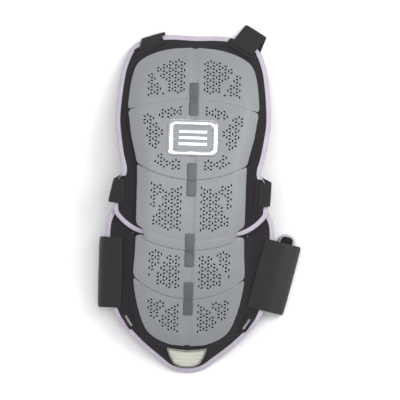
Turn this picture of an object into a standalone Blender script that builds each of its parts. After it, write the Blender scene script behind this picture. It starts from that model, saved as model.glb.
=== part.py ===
"""Back protector: a soft panel in two layers that carries five overlapping hard plates.

It lies with its shell up. X runs across, +Y towards the neck, +Z up. The origin is on the floor, on the
spine line, at the middle of the waist belt's flat underside. Nearly every piece is a height field: an
outline in plan, with a lower and an upper surface that follow the arch of the back.
"""

import math

import bmesh
import bpy
import numpy as np
from mathutils import Vector
from mathutils.geometry import delaunay_2d_cdt

# Panel
PANEL_LENGTH = 0.528
PANEL_WIDTH = 0.262
NECK_REACH = 0.3716  # from the belt's middle to the neck edge
FOAM_THICKNESS = 0.007
LIP_THICKNESS = 0.003  # the lower panel's foam where the upper panel lies on it
COVER_THICKNESS = 0.0015
RIM_WIDTH = 0.007  # foam edge that shows round the cover
CORE_RISE = 0.006  # padding under the shell
WELT_WIDTH = 0.012  # slope of the lower cover up to the plates
LIP_SLOPE = 0.007  # slope of the lower foam just past the upper panel's edge

# Arch of the back as it lies
ARCH_RADIUS = 0.520
SIDE_RADIUS = 0.200
FLAT_WIDTH = 0.090
NECK_LIFT = 0.0032  # the neck edge lies on the straps

# Shell
SHELL_WIDTH = 0.2036
SHELL_INSET = 0.0193  # from the panel's neck edge
TAIL_ROOM = 0.0427  # from the shell's tail to the panel's, where the ribbed pad lies
PLATE_THICKNESS = 0.003
FLANK_WIDTH = 0.018
CORNER_RADIUS = 0.007
SEAM_OVERLAP = 0.008
SEAM_GAP = 0.0008
TONGUE_WIDTH = 0.142  # the third plate's lower end
CHANNEL_WIDTH = 0.014
CHANNEL_DEPTH = 0.001
CLIP_WIDTH = 0.014
CLIP_LENGTH = 0.050
CLIP_THICKNESS = 0.0025
CLIP_RADIUS = 0.002
CLIP_STEP_START = 0.002  # past the seam, where the clip starts down to the tucked plate
CLIP_STEP_RUN = 0.009
CHANNEL_SLOPE = 0.003
TUCK_ROOM = 0.012  # from the shell's side to where a tucked edge runs on under its neighbour

# Slots through the plates, on a lattice of triangles
COLUMN_PITCH = 0.00915
ROW_PITCH = 0.01085
FIRST_COLUMN = 0.0158
PETAL_LENGTH = 0.0048
PETAL_WIDTH = 0.0022
CUT_EVERY = 2  # every second column is cut

# Badge on the second plate
BADGE_WIDTH = 0.078
BADGE_HEIGHT = 0.056
BADGE_RADIUS = 0.010
BADGE_BAND = 0.009
BADGE_THICKNESS = 0.003
BADGE_PLACE = 0.3045  # length share of the shell
INSERT_THICKNESS = 0.0015
BAR_LENGTH = 0.044
BAR_WIDTH = 0.0048
BAR_PITCH = 0.0095
BAR_THICKNESS = 0.0008
BAR_RADIUS = 0.001

# Tail pad
PAD_WIDTH = 0.065
PAD_THICKNESS = 0.0035
PAD_RADIUS = 0.004

# Straps, belt and their slots
STRAP_WIDTH = 0.038
STRAP_THICKNESS = 0.002
FOLD_HEIGHT = 0.0055  # least height of a strap's fold past the neck edge
SLOT_CLEARANCE = 0.0015
HEM_SLOT_LENGTH = 0.019
HEM_SLOT_WIDTH = 0.0036
FRAME_MARGIN = 0.0045
FRAME_THICKNESS = 0.0012
BELT_WIDTH = 0.110
BELT_THICKNESS = 0.003
BELT_SEAM = 0.105  # from the spine to where the belt is sewn on the cover
BELT_OVERLAP = 0.050
BELT_STEP_RUN = 0.022  # where the right half climbs onto the left half's end
BELT_EDGE_ROOM = 0.003
END_PAD_WIDTH = 0.026
END_PAD_LENGTH = 0.060
END_PAD_THICKNESS = 0.005
END_PAD_RIM = 0.0035
END_PAD_RADIUS = 0.010
END_PAD_REACH = 0.034  # from the belt's seam, along the belt
END_PAD_TOP = 0.069  # from the belt's middle, across the belt

GAP = 0.0003
SEAT_GAP = 0.0007  # between faceted pieces that lie on each other

# Half outline of the upper panel: (width share, length share), from the neck round to the spine again
UPPER_OUTLINE = (
    (0.000, 0.002), (0.229, 0.000), (0.400, 0.002), (0.573, 0.012), (0.700, 0.027), (0.775, 0.045),
    (0.852, 0.092), (0.893, 0.150), (0.918, 0.220), (0.921, 0.261), (0.902, 0.302), (0.862, 0.360),
    (0.822, 0.400), (0.828, 0.415), (0.868, 0.431), (0.897, 0.454), (0.912, 0.486), (0.914, 0.510),
    (0.900, 0.531), (0.825, 0.554), (0.702, 0.577), (0.554, 0.592), (0.305, 0.603), (0.000, 0.607),
)

# Half outline of the lower panel, with the lip that the upper panel covers
LOWER_OUTLINE = (
    (0.000, 0.550), (0.458, 0.538), (0.763, 0.513), (0.890, 0.507), (0.937, 0.525), (0.981, 0.549),
    (0.998, 0.580), (0.996, 0.652), (0.981, 0.700), (0.950, 0.757), (0.899, 0.810), (0.830, 0.848),
    (0.724, 0.878), (0.559, 0.919), (0.352, 0.961), (0.210, 0.988), (0.090, 0.998), (0.000, 1.000),
)

# Half outline of the shell, as shares of its own width and length
SHELL_OUTLINE = (
    (0.000, 0.000), (0.196, 0.002), (0.392, 0.008), (0.569, 0.018), (0.735, 0.034), (0.848, 0.052),
    (0.908, 0.072), (0.961, 0.114), (0.988, 0.162), (1.000, 0.208), (0.969, 0.255), (0.938, 0.301),
    (0.885, 0.348), (0.843, 0.388), (0.832, 0.418), (0.828, 0.500), (0.826, 0.650), (0.833, 0.697),
    (0.846, 0.744), (0.839, 0.790), (0.804, 0.837), (0.752, 0.883), (0.673, 0.930), (0.606, 0.953),
    (0.473, 0.976), (0.255, 0.995), (0.098, 0.9995), (0.000, 1.000),
)

# Seams between the plates: (length share at the spine, bow radius as a share of the half width, side that
# the edges bend to: +1 neck, -1 tail, plate on top)
SEAMS = (
    (0.175, 2.65, -1, 2),
    (0.443, 1.62, 1, 2),
    (0.677, 1.62, 1, 3),
    (0.839, 1.25, 1, 4),
)

# Where plates three and four leave room for the upper panel's edge: length shares, then the width share
SHOULDER_TOP = 0.594
SHOULDER_FOOT = 0.614
PLATE_4_TOP = 0.630
SHOULDER_WIDTH = 0.827

# Plates that climb along their length: plate, length shares where the climb starts and ends
PLATE_RAMPS = (
    (3, 0.455, 0.590),
    (4, 0.688, 0.745),
)

# Fields of slots: plate, then the half field's corners as (width share, length share)
SLOT_FIELDS = (
    (1, ((0.34, 0.046), (0.14, 0.041), (0.14, 0.153), (0.35, 0.158), (0.46, 0.116), (0.60, 0.072))),
    (1, ((0.68, 0.084), (0.63, 0.094), (0.46, 0.161), (0.72, 0.166), (0.71, 0.135))),
    (2, ((0.55, 0.211), (0.20, 0.203), (0.20, 0.231), (0.50, 0.244))),
    (2, ((0.75, 0.231), (0.69, 0.219), (0.47, 0.283), (0.48, 0.317), (0.60, 0.355), (0.72, 0.285))),
    (2, ((0.48, 0.359), (0.40, 0.375), (0.20, 0.381), (0.20, 0.416), (0.36, 0.406), (0.58, 0.390))),
    (3, ((0.61, 0.451), (0.47, 0.462), (0.42, 0.479), (0.52, 0.505), (0.55, 0.532), (0.60, 0.545))),
    (3, ((0.34, 0.472), (0.15, 0.471), (0.14, 0.613), (0.33, 0.614), (0.60, 0.592), (0.59, 0.577))),
    (4, ((0.59, 0.676), (0.41, 0.689), (0.48, 0.725), (0.58, 0.759), (0.63, 0.765), (0.62, 0.700))),
    (4, ((0.31, 0.696), (0.14, 0.697), (0.14, 0.800), (0.32, 0.802), (0.50, 0.791), (0.50, 0.769))),
    (5, ((0.61, 0.832), (0.35, 0.858), (0.41, 0.885), (0.50, 0.915), (0.60, 0.890))),
    (5, ((0.26, 0.859), (0.14, 0.861), (0.14, 0.950), (0.25, 0.949), (0.43, 0.933), (0.44, 0.919))),
)

# Middle of the slots' lattice rows on each plate, as a length share of the shell
LATTICE_START = (0.100, 0.300, 0.540, 0.704, 0.905)

# Tail pad: (share of its half width, share of the room below the shell), from its upper middle round to
# its lower middle
TAIL_PAD = (
    (0.000, 0.147), (0.484, 0.116), (1.000, 0.054), (0.846, 0.382), (0.645, 0.666), (0.323, 0.790),
    (0.000, 0.802),
)

# Strap slots: name, middle as (width share, length share) of the panel, turn of the slot from X in degrees
SLOTS = (
    ("neck", 0.552, 0.0367, -30.0),
    ("wing", 0.794, 0.4690, 88.0),
    ("hem", 0.702, 0.8487, 57.5),
)

# Outer folds of the shoulder straps: side, fold past the wing, fold past the neck, each fold as
# (width share, length share, degrees)
STRAP_FOLDS = (
    ("left", -1, (0.945, 0.4640, 102.0), (0.507, 0.0030, -17.6)),
    ("right", 1, (0.937, 0.4640, 88.0), (0.720, -0.0188, -30.5)),
)

# Where the straps lie on the floor on their way to the neck: (width share, length share, degrees)
STRAP_FLOOR = (
    (0.72, 0.440, 66.0),
    (0.50, 0.280, 22.0),
    (0.49, 0.140, 0.0),
)

# Bend radii along a strap, from its end in the wing slot to its end in the neck slot
STRAP_RADII = (0, 0.0022, 0.0035, 0.004, 0.025, 0.040, 0.040, 0.004, 0.004, 0.0022, 0)

# Bend radii along a belt half, from its seam to its free end, then for the right half's step up
BELT_RADII = (0, 0.006, 0.012, 0.014, 0.010)
BELT_STEP_RADII = (0.008, 0.008)

# Belt halves: side, turn in degrees, offset along Y at the seam, reach past the panel, height share of
# the fold
BELT_HALVES = (
    ("left", -1, 0.0, -0.0015, 0.006, 0.80),
    ("right", 1, -13.4, 0.0047, 0.028, 0.42),
)

# Size of the faces
OUTLINE_STEP = 0.0145
BEND_STEP = 0.023
GRID_STEP = 0.033
EDGE_ROOM = 0.008
FOLD_LINES = 4  # across each bend of a strap

HALF_PANEL = PANEL_WIDTH / 2
HALF_SHELL = SHELL_WIDTH / 2
SHELL_NECK = NECK_REACH - SHELL_INSET
SHELL_LENGTH = PANEL_LENGTH - SHELL_INSET - TAIL_ROOM
LAYER_STEP = LIP_THICKNESS + COVER_THICKNESS + GAP + SEAT_GAP
COVER_TOP = FOAM_THICKNESS + GAP + COVER_THICKNESS
PLATE_STEP = PLATE_THICKNESS + SEAT_GAP
TAIL_Y = NECK_REACH - PANEL_LENGTH
CREST_Y = (NECK_REACH + TAIL_Y) / 2 + ARCH_RADIUS * (NECK_LIFT - LAYER_STEP) / PANEL_LENGTH
CREST_Z = NECK_LIFT + (NECK_REACH - CREST_Y) ** 2 / (2 * ARCH_RADIUS)


def panel_point(width_share, length_share):
    """Point in plan from shares of the panel."""
    return width_share * HALF_PANEL, NECK_REACH - length_share * PANEL_LENGTH


def shell_point(width_share, length_share):
    """Point in plan from shares of the shell."""
    return width_share * HALF_SHELL, SHELL_NECK - length_share * SHELL_LENGTH


def smooth_half(points, step):
    """Smooth half outline through the points, which start and end on the spine."""
    points = np.array(points)
    mirror = np.array((-1.0, 1.0))
    padded = np.vstack((points[1] * mirror, points, points[-2] * mirror))
    dense = []
    for p0, p1, p2, p3 in zip(padded, padded[1:], padded[2:], padded[3:]):
        t1 = np.linalg.norm(p1 - p0) ** 0.5
        t2 = t1 + np.linalg.norm(p2 - p1) ** 0.5
        t3 = t2 + np.linalg.norm(p3 - p2) ** 0.5
        for t in np.linspace(t1, t2, 8, endpoint=False):
            a1 = p0 + (p1 - p0) * t / t1
            a2 = p1 + (p2 - p1) * (t - t1) / (t2 - t1)
            a3 = p2 + (p3 - p2) * (t - t2) / (t3 - t2)
            b1 = a1 + (a2 - a1) * t / t2
            b2 = a2 + (a3 - a2) * (t - t1) / (t3 - t1)
            dense.append(b1 + (b2 - b1) * (t - t1) / (t2 - t1))
    dense.append(points[-1])
    return resample(np.array(dense), step)


def lengths_along(points):
    """Distance of each point along a line, from its start."""
    return np.concatenate(((0.0,), np.cumsum(np.linalg.norm(np.diff(points, axis=0), axis=1))))


def resample(points, step):
    """The same line with its points about one step apart."""
    along = lengths_along(points)
    places = np.linspace(0.0, along[-1], max(2, round(along[-1] / step)) + 1)
    return np.column_stack([np.interp(places, along, points[:, axis]) for axis in (0, 1)])


def round_corners(points, radius, sharp=math.radians(33)):
    """The same line with each sharp corner replaced by a short curve."""
    points = np.array(points)
    along = lengths_along(points)
    steps = np.diff(points, axis=0)
    heading = np.arctan2(steps[:, 1], steps[:, 0])
    turn = np.abs((np.diff(heading) + math.pi) % (2 * math.pi) - math.pi)
    corners = [index + 1 for index in range(len(turn)) if turn[index] > sharp]
    stops = [0.0] + [along[corner] for corner in corners] + [along[-1]]
    kept = [points[0]]
    begin = 0.0
    for order, corner in enumerate(corners):
        here = along[corner]
        cut = min(radius, 0.45 * (here - stops[order]), 0.45 * (stops[order + 2] - here))
        kept += [p for p, at in zip(points, along) if begin + 1e-5 < at < here - cut - 1e-5]
        start, end = (np.array([np.interp(here + side * cut, along, points[:, axis]) for axis in (0, 1)])
                      for side in (-1, 1))
        for t in (0.0, 0.33, 0.67, 1.0):
            kept.append((1 - t) ** 2 * start + 2 * t * (1 - t) * points[corner] + t ** 2 * end)
        begin = here + cut
    kept += [p for p, at in zip(points, along) if at > begin + 1e-5]
    return np.array(kept)


def whole(half):
    """Closed outline from its right half, which runs from the upper to the lower end of the spine."""
    left = half[::-1] * (-1.0, 1.0)
    inner = left[1:-1]
    return np.vstack((half, inner))


def inset(loop, distance):
    """The outline moved inwards, for a loop that runs clockwise."""
    tangent = np.roll(loop, -1, axis=0) - np.roll(loop, 1, axis=0)
    tangent /= np.linalg.norm(tangent, axis=1)[:, None]
    return loop + distance * np.column_stack((tangent[:, 1], -tangent[:, 0]))


def signed_distance(loop, x, y):
    """Distance from a closed outline, positive inside."""
    x, y = np.atleast_1d(x).astype(float), np.atleast_1d(y).astype(float)
    nearest = np.full(x.shape, np.inf)
    inside = np.zeros(x.shape, dtype=bool)
    for (ax, ay), (bx, by) in zip(loop, np.roll(loop, -1, axis=0)):
        dx, dy = bx - ax, by - ay
        share = np.clip(((x - ax) * dx + (y - ay) * dy) / (dx * dx + dy * dy), 0.0, 1.0)
        nearest = np.minimum(nearest, np.hypot(x - ax - share * dx, y - ay - share * dy))
        if ay != by:
            inside ^= ((ay > y) != (by > y)) & (x < ax + (y - ay) * dx / dy)
    return np.where(inside, nearest, -nearest)


UPPER_LOOP = whole(smooth_half([panel_point(*row) for row in UPPER_OUTLINE], OUTLINE_STEP))
LOWER_LOOP = whole(smooth_half([panel_point(*row) for row in LOWER_OUTLINE], OUTLINE_STEP))
SHELL_SIDE = smooth_half([shell_point(*row) for row in SHELL_OUTLINE], OUTLINE_STEP)
SHELL_LOOP = whole(SHELL_SIDE)


def ramp(value):
    """0 to 1 with soft ends."""
    value = np.clip(value, 0.0, 1.0)
    return value * value * (3 - 2 * value)


def arch(x, y):
    """Underside of the upper panel."""
    side = np.maximum(np.abs(x) - FLAT_WIDTH / 2, 0.0)
    return CREST_Z - (y - CREST_Y) ** 2 / (2 * ARCH_RADIUS) - side ** 2 / (2 * SIDE_RADIUS)


def core(x, y):
    """Rise of the padding and the plates from the shell's rim to its plateau."""
    return CORE_RISE * np.clip(signed_distance(SHELL_LOOP, x, y) / FLANK_WIDTH, 0.0, 1.0)


def upper_cover_top(x, y):
    """Upper face of the upper panel's cover."""
    return arch(x, y) + COVER_TOP + core(x, y)


def lower_base(x, y):
    """Underside of the lower panel."""
    return arch(x, y) - LAYER_STEP


def lower_foam_top(x, y):
    """Upper face of the lower foam: a thin lip under the upper panel, then full, then up to the plates."""
    clear = np.clip((-signed_distance(UPPER_LOOP, x, y) - GAP) / LIP_SLOPE, 0.0, 1.0)
    welt = np.clip(signed_distance(SHELL_LOOP, x, y) / WELT_WIDTH + 1.0, 0.0, 1.0)
    swell = FOAM_THICKNESS - LIP_THICKNESS + LAYER_STEP * welt + core(x, y)
    return lower_base(x, y) + LIP_THICKNESS + swell * clear


def lower_cover_top(x, y):
    """Upper face of the lower panel's cover."""
    return lower_foam_top(x, y) + GAP + COVER_THICKNESS


def plate_level(plate, y):
    """How far a plate stands over the lowest plates: 0 where it is tucked under, one step where it covers."""
    if plate == 2:
        return PLATE_STEP + 0.0 * y
    share = (SHELL_NECK - y) / SHELL_LENGTH
    for climbing, start, end in PLATE_RAMPS:
        if climbing == plate:
            return PLATE_STEP * ramp((share - start) / (end - start))
    return 0.0 * y


def plate_bottom(plate, x, y):
    """Underside of a plate."""
    channel = CHANNEL_DEPTH * np.clip((CHANNEL_WIDTH / 2 - np.abs(x)) / CHANNEL_SLOPE + 0.5, 0.0, 1.0)
    return arch(x, y) + COVER_TOP + SEAT_GAP + CHANNEL_DEPTH + core(x, y) - channel + plate_level(plate, y)


def plate_top(plate, x, y):
    """Upper face of a plate."""
    return plate_bottom(plate, x, y) + PLATE_THICKNESS


def material(name, color, roughness, metallic=0.0):
    """Principled material."""
    made = bpy.data.materials.new(name)
    made.use_nodes = True
    shader = made.node_tree.nodes["Principled BSDF"]
    shader.inputs["Base Color"].default_value = (*color, 1.0)
    shader.inputs["Roughness"].default_value = roughness
    shader.inputs["Metallic"].default_value = metallic
    return made


def add_object(name, mesh, finish):
    """Object in the scene with its material."""
    mesh.materials.append(finish)
    mesh.shade_smooth()
    mesh.set_sharp_from_angle(angle=math.radians(35))
    made = bpy.data.objects.new(name, mesh)
    bpy.context.scene.collection.objects.link(made)
    return made


def grid_points(loop, rings):
    """Inner points of a plan: a grid kept clear of every outline, hole and bend line."""
    low, high = loop.min(axis=0), loop.max(axis=0)
    columns = np.arange(0.0, high[0], GRID_STEP)
    columns = np.concatenate((-columns[:0:-1], columns))
    rows = np.arange(math.floor(low[1] / GRID_STEP), math.ceil(high[1] / GRID_STEP)) * GRID_STEP
    points = np.array([(x, y) for x in columns for y in rows]).reshape(-1, 2)
    kept = signed_distance(loop, points[:, 0], points[:, 1]) > EDGE_ROOM
    for ring in rings:
        kept &= np.abs(signed_distance(ring, points[:, 0], points[:, 1])) > EDGE_ROOM
    return points[kept]


def height_solid(name, loop, bottom, top, finish, holes=(), bends=()):
    """Closed solid over a plan outline, between two surfaces, with its holes and bends."""
    points, edges = [], []
    for ring in (loop, *holes, *bends):
        first = len(points)
        points += [tuple(p) for p in ring]
        edges += [(first + i, first + (i + 1) % len(ring)) for i in range(len(ring))]
    points += [tuple(p) for p in grid_points(loop, (*holes, *bends))]
    flat, _, faces, *_ = delaunay_2d_cdt([Vector(p) for p in points], edges, [], 0, 1e-6)
    flat = np.array([tuple(p) for p in flat])
    faces = np.array(faces)
    middle = flat[faces].mean(axis=1)
    kept = signed_distance(loop, middle[:, 0], middle[:, 1]) > 0
    for hole in holes:
        kept &= signed_distance(hole, middle[:, 0], middle[:, 1]) < 0
    solid = bmesh.new()
    low = [solid.verts.new((x, y, z)) for (x, y), z in zip(flat, bottom(flat[:, 0], flat[:, 1]))]
    for face in faces[kept]:
        solid.faces.new([low[index] for index in face])
    loose = [vert for vert in low if not vert.link_faces]
    bmesh.ops.delete(solid, geom=loose, context="VERTS")
    lifted = bmesh.ops.extrude_face_region(solid, geom=solid.faces[:])
    raised = [item for item in lifted["geom"] if isinstance(item, bmesh.types.BMVert)]
    place = np.array([vert.co[:2] for vert in raised])
    for vert, z in zip(raised, top(place[:, 0], place[:, 1])):
        vert.co.z = z
    bmesh.ops.recalc_face_normals(solid, faces=solid.faces[:])
    mesh = bpy.data.meshes.new(name)
    solid.to_mesh(mesh)
    solid.free()
    return add_object(name, mesh, finish)


def rounded_box(center, size, radius, degrees=0.0, step=OUTLINE_STEP):
    """Clockwise rounded rectangle in plan."""
    half = np.array(size) / 2
    radius = min(radius, 0.999 * half.min())
    turn = math.radians(degrees)
    points = []
    for corner, start in (((1, 1), 90), ((1, -1), 0), ((-1, -1), -90), ((-1, 1), -180)):
        middle = np.array(corner) * (half - radius)
        for angle in np.radians((start, start - 45, start - 90)):
            points.append(middle + radius * np.array((math.cos(angle), math.sin(angle))))
    points.append(points[0])
    sides = []
    for start, end in zip(points, points[1:]):
        count = max(1, round(np.linalg.norm(end - start) / step))
        sides += [start + (end - start) * share / count for share in range(count)]
    points = np.array(sides)
    spin = np.array(((math.cos(turn), math.sin(turn)), (-math.sin(turn), math.cos(turn))))
    return points @ spin + center


def seam_y(seam, x):
    """Place of a seam at a distance from the spine."""
    share, bow, side, _ = SEAMS[seam]
    radius = bow * HALF_SHELL
    return SHELL_NECK - share * SHELL_LENGTH + side * (radius - np.sqrt(radius ** 2 - x ** 2))


def side_reach(edge):
    """Where an edge curve meets the shell's side."""
    x = 0.8 * HALF_SHELL
    for _ in range(12):
        x = np.interp(-edge(x), -SHELL_SIDE[:, 1], SHELL_SIDE[:, 0])
    return x


def seam_edge(seam, plate, inward):
    """Half edge of a plate along a seam, from the spine out. Tucked edges reach on under the next plate."""
    tucked = SEAMS[seam][3] != plate
    shift = -inward * SEAM_GAP if tucked else 0.0
    reach = side_reach(lambda x: seam_y(seam, x) - shift)
    places = np.linspace(0.0, reach, 9)
    if not tucked:
        return np.column_stack((places, seam_y(seam, places)))
    tuck = reach - TUCK_ROOM
    hidden = np.linspace(0.0, tuck, 7)
    shown = np.linspace(tuck, reach, 3)
    return np.vstack((np.column_stack((hidden, seam_y(seam, hidden) + inward * SEAM_OVERLAP)),
                      np.column_stack((shown, seam_y(seam, shown) - inward * SEAM_GAP))))


def plate_outline(plate):
    """Closed outline of a plate: its upper edge, the shell's side and its lower edge."""
    half_tongue = TONGUE_WIDTH / 2
    upper = seam_edge(plate - 2, plate, 1) if plate > 1 else SHELL_SIDE[:1]
    lower = seam_edge(plate - 1, plate, -1) if plate < 5 else SHELL_SIDE[-1:]
    if plate == 3:
        places = np.linspace(0.0, half_tongue, 7)
        shoulder = (half_tongue, shell_point(0.0, SHOULDER_FOOT)[1])
        side = shell_point(SHOULDER_WIDTH, SHOULDER_TOP)
        lower = np.vstack((np.column_stack((places, seam_y(2, places))), shoulder, side))
    if plate == 4:
        reach, top = shell_point(SHOULDER_WIDTH, PLATE_4_TOP)
        places = np.linspace(0.0, reach, 9)
        upper = np.column_stack((places, np.minimum(seam_y(2, places) + SEAM_OVERLAP, top)))
    side = SHELL_SIDE[(SHELL_SIDE[:, 1] < upper[-1, 1] - 0.003) & (SHELL_SIDE[:, 1] > lower[-1, 1] + 0.003)]
    half = round_corners(np.vstack((upper, side, lower[::-1])), CORNER_RADIUS)
    return whole(half)


def petal(x, y):
    """Lens slot that points along Y, clockwise."""
    long, wide = PETAL_LENGTH / 2, PETAL_WIDTH / 2
    return np.array(((x, y + long), (x + wide, y), (x, y - long), (x - wide, y)))


def plate_slots(plate):
    """Lens slots of a plate, on the upright edges of its lattice that lie in its fields."""
    middle = SHELL_NECK - LATTICE_START[plate - 1] * SHELL_LENGTH
    slope = math.atan(abs(middle - CREST_Y) / ARCH_RADIUS)
    pitch = ROW_PITCH * math.cos(slope)
    fields = [np.array([shell_point(*row) for row in rows])
              for number, rows in SLOT_FIELDS if number == plate]
    slots = []
    for column in range(0, int(HALF_SHELL / COLUMN_PITCH), CUT_EVERY):
        x = FIRST_COLUMN + column * COLUMN_PITCH
        for row in range(-9, 10):
            y = middle + (row + column % 2 / 2) * pitch
            if max(signed_distance(field, x, y)[0] for field in fields) > 0:
                slots += [petal(x, y), petal(-x, y)]
    return slots


def bend_line(distance):
    """Closed line inside or outside the shell's rim, where the surfaces bend."""
    return inset(whole(resample(SHELL_SIDE, BEND_STEP)), distance)


def add_panels(foam, textile):
    """The two foams and their covers, with the strap slots through them."""
    bends = [bend_line(0.0), bend_line(FLANK_WIDTH)]
    low_bends = [*bends, bend_line(-WELT_WIDTH), inset(UPPER_LOOP, -GAP), inset(UPPER_LOOP, -LIP_SLOPE)]
    upper_cover, lower_cover = inset(UPPER_LOOP, RIM_WIDTH), inset(LOWER_LOOP, RIM_WIDTH)
    high = [slot_hole(name, side) for name in ("neck", "wing") for side in (-1, 1)]
    low = [slot_hole("hem", side) for side in (-1, 1)]
    height_solid("upper_foam", UPPER_LOOP, arch, lambda x, y: arch(x, y) + FOAM_THICKNESS + core(x, y),
                 foam, high, [*bends, upper_cover])
    height_solid("upper_cover", upper_cover,
                 lambda x, y: upper_cover_top(x, y) - COVER_THICKNESS, upper_cover_top, textile, high, bends)
    height_solid("lower_foam", LOWER_LOOP, lower_base, lower_foam_top, foam, low, [*low_bends, lower_cover])
    height_solid("lower_cover", lower_cover,
                 lambda x, y: lower_cover_top(x, y) - COVER_THICKNESS, lower_cover_top,
                 textile, low, low_bends)


def add_shell(plastic, dark_plastic):
    """Five plates and the four clips over their seams."""
    channel = rounded_box(shell_point(0.0, 0.5), (CHANNEL_WIDTH, 2 * SHELL_LENGTH), CHANNEL_SLOPE,
                          step=BEND_STEP)
    for plate in range(1, 6):
        height_solid(f"shell_plate_{plate}", plate_outline(plate),
                     lambda x, y: plate_bottom(plate, x, y), lambda x, y: plate_top(plate, x, y),
                     plastic, plate_slots(plate), [bend_line(FLANK_WIDTH), channel])
    for seam, (share, _, _, over) in enumerate(SEAMS):
        seam_place = SHELL_NECK - share * SHELL_LENGTH
        under = seam + 1 if over == seam + 2 else seam + 2
        towards = 1 if under < over else -1

        def seat(x, y):
            past = np.clip((towards * (y - seam_place) - CLIP_STEP_START) / CLIP_STEP_RUN, 0.0, 1.0)
            return SEAT_GAP + (1 - past) * plate_top(over, x, y) + past * plate_top(under, x, y)

        loop = rounded_box((0.0, seam_place), (CLIP_WIDTH, CLIP_LENGTH), CLIP_RADIUS)
        slope = seam_place + towards * (CLIP_STEP_START + CLIP_STEP_RUN / 2)
        bends = [rounded_box((0.0, slope), (2 * CLIP_WIDTH, CLIP_STEP_RUN), CLIP_RADIUS)]
        height_solid(f"spine_clip_{seam + 1}", loop, seat, lambda x, y: seat(x, y) + CLIP_THICKNESS,
                     dark_plastic, bends=bends)


def add_badge(silver, dark_plastic):
    """Silver frame on the second plate, with a plain insert and three equal bars."""
    place = np.array(shell_point(0.0, BADGE_PLACE))
    size = np.array((BADGE_WIDTH, BADGE_HEIGHT))
    hole = rounded_box(place, size - 2 * BADGE_BAND, BADGE_RADIUS / 2)

    def seat(x, y):
        return plate_top(2, x, y) + SEAT_GAP

    height_solid("badge_frame", rounded_box(place, size, BADGE_RADIUS), seat,
                 lambda x, y: seat(x, y) + BADGE_THICKNESS, silver, [hole])
    height_solid("badge_insert", rounded_box(place, size - 2 * BADGE_BAND - 2 * GAP, BADGE_RADIUS / 2),
                 seat, lambda x, y: seat(x, y) + INSERT_THICKNESS, dark_plastic)
    for bar in (-1, 0, 1):
        height_solid(f"badge_bar_{bar + 2}",
                     rounded_box(place + (0.0, bar * BAR_PITCH), (BAR_LENGTH, BAR_WIDTH), BAR_RADIUS),
                     lambda x, y: seat(x, y) + INSERT_THICKNESS + GAP,
                     lambda x, y: seat(x, y) + INSERT_THICKNESS + GAP + BAR_THICKNESS, silver)


def add_tail_pad(rubber):
    """Ribbed pad below the last plate."""
    points = [(PAD_WIDTH / 2 * wide, TAIL_Y + TAIL_ROOM * (1 - far)) for wide, far in TAIL_PAD]
    half = round_corners(points, PAD_RADIUS, math.radians(25))
    height_solid("tail_pad", whole(half), lambda x, y: lower_cover_top(x, y) + SEAT_GAP,
                 lambda x, y: lower_cover_top(x, y) + SEAT_GAP + PAD_THICKNESS, rubber)


def slot_place(name):
    """Middle, turn, length and width of a strap slot on the right side."""
    row = next(row for row in SLOTS if row[0] == name)
    if name == "hem":
        return np.array(panel_point(*row[1:3])), row[3], HEM_SLOT_LENGTH, HEM_SLOT_WIDTH
    return (np.array(panel_point(*row[1:3])), row[3], STRAP_WIDTH + 2 * SLOT_CLEARANCE,
            STRAP_THICKNESS + 2 * SLOT_CLEARANCE)


def slot_hole(name, side):
    """Outline of a strap slot."""
    place, turn, length, width = slot_place(name)
    return rounded_box(place * (side, 1), (length, width), width * 0.4, side * turn)


def add_slot_frames(textile):
    """Flat reinforcement round each strap slot."""
    for name, *_ in SLOTS:
        place, turn, length, width = slot_place(name)
        seat = lower_cover_top if name == "hem" else upper_cover_top
        for side, label in ((-1, "left"), (1, "right")):
            outer = rounded_box(place * (side, 1), (length + 2 * FRAME_MARGIN, width + 2 * FRAME_MARGIN),
                                FRAME_MARGIN, side * turn)
            height_solid(f"slot_frame_{name}_{label}", outer, lambda x, y: seat(x, y) + SEAT_GAP,
                         lambda x, y: seat(x, y) + SEAT_GAP + FRAME_THICKNESS,
                         textile, [slot_hole(name, side)])


def strip(name, rows, radii, thickness, finish):
    """Band through rows of points across its width, with each fold rounded, and its thickness added."""
    rows = np.array(rows)
    middle = rows[:, rows.shape[1] // 2]
    lines = [rows[0]]
    for index, radius in enumerate(radii[1:-1], 1):
        before, here, after = rows[index - 1:index + 2]
        cut_in = min(radius / np.linalg.norm(middle[index] - middle[index - 1]), 0.48)
        cut_out = min(radius / np.linalg.norm(middle[index + 1] - middle[index]), 0.48)
        start, end = here + (before - here) * cut_in, here + (after - here) * cut_out
        for t in np.linspace(0.0, 1.0, FOLD_LINES):
            lines.append((1 - t) ** 2 * start + 2 * t * (1 - t) * here + t ** 2 * end)
    lines.append(rows[-1])
    lines = np.array(lines)
    count, across = lines.shape[:2]
    faces = [(i * across + j, i * across + j + 1, (i + 1) * across + j + 1, (i + 1) * across + j)
             for i in range(count - 1) for j in range(across - 1)]
    mesh = bpy.data.meshes.new(name)
    mesh.from_pydata([tuple(p) for p in lines.reshape(-1, 3)], [], faces)
    made = add_object(name, mesh, finish)
    wall = made.modifiers.new("wall", "SOLIDIFY")
    wall.thickness = thickness
    wall.offset = 0.0
    wall.use_even_offset = True
    return made


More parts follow.
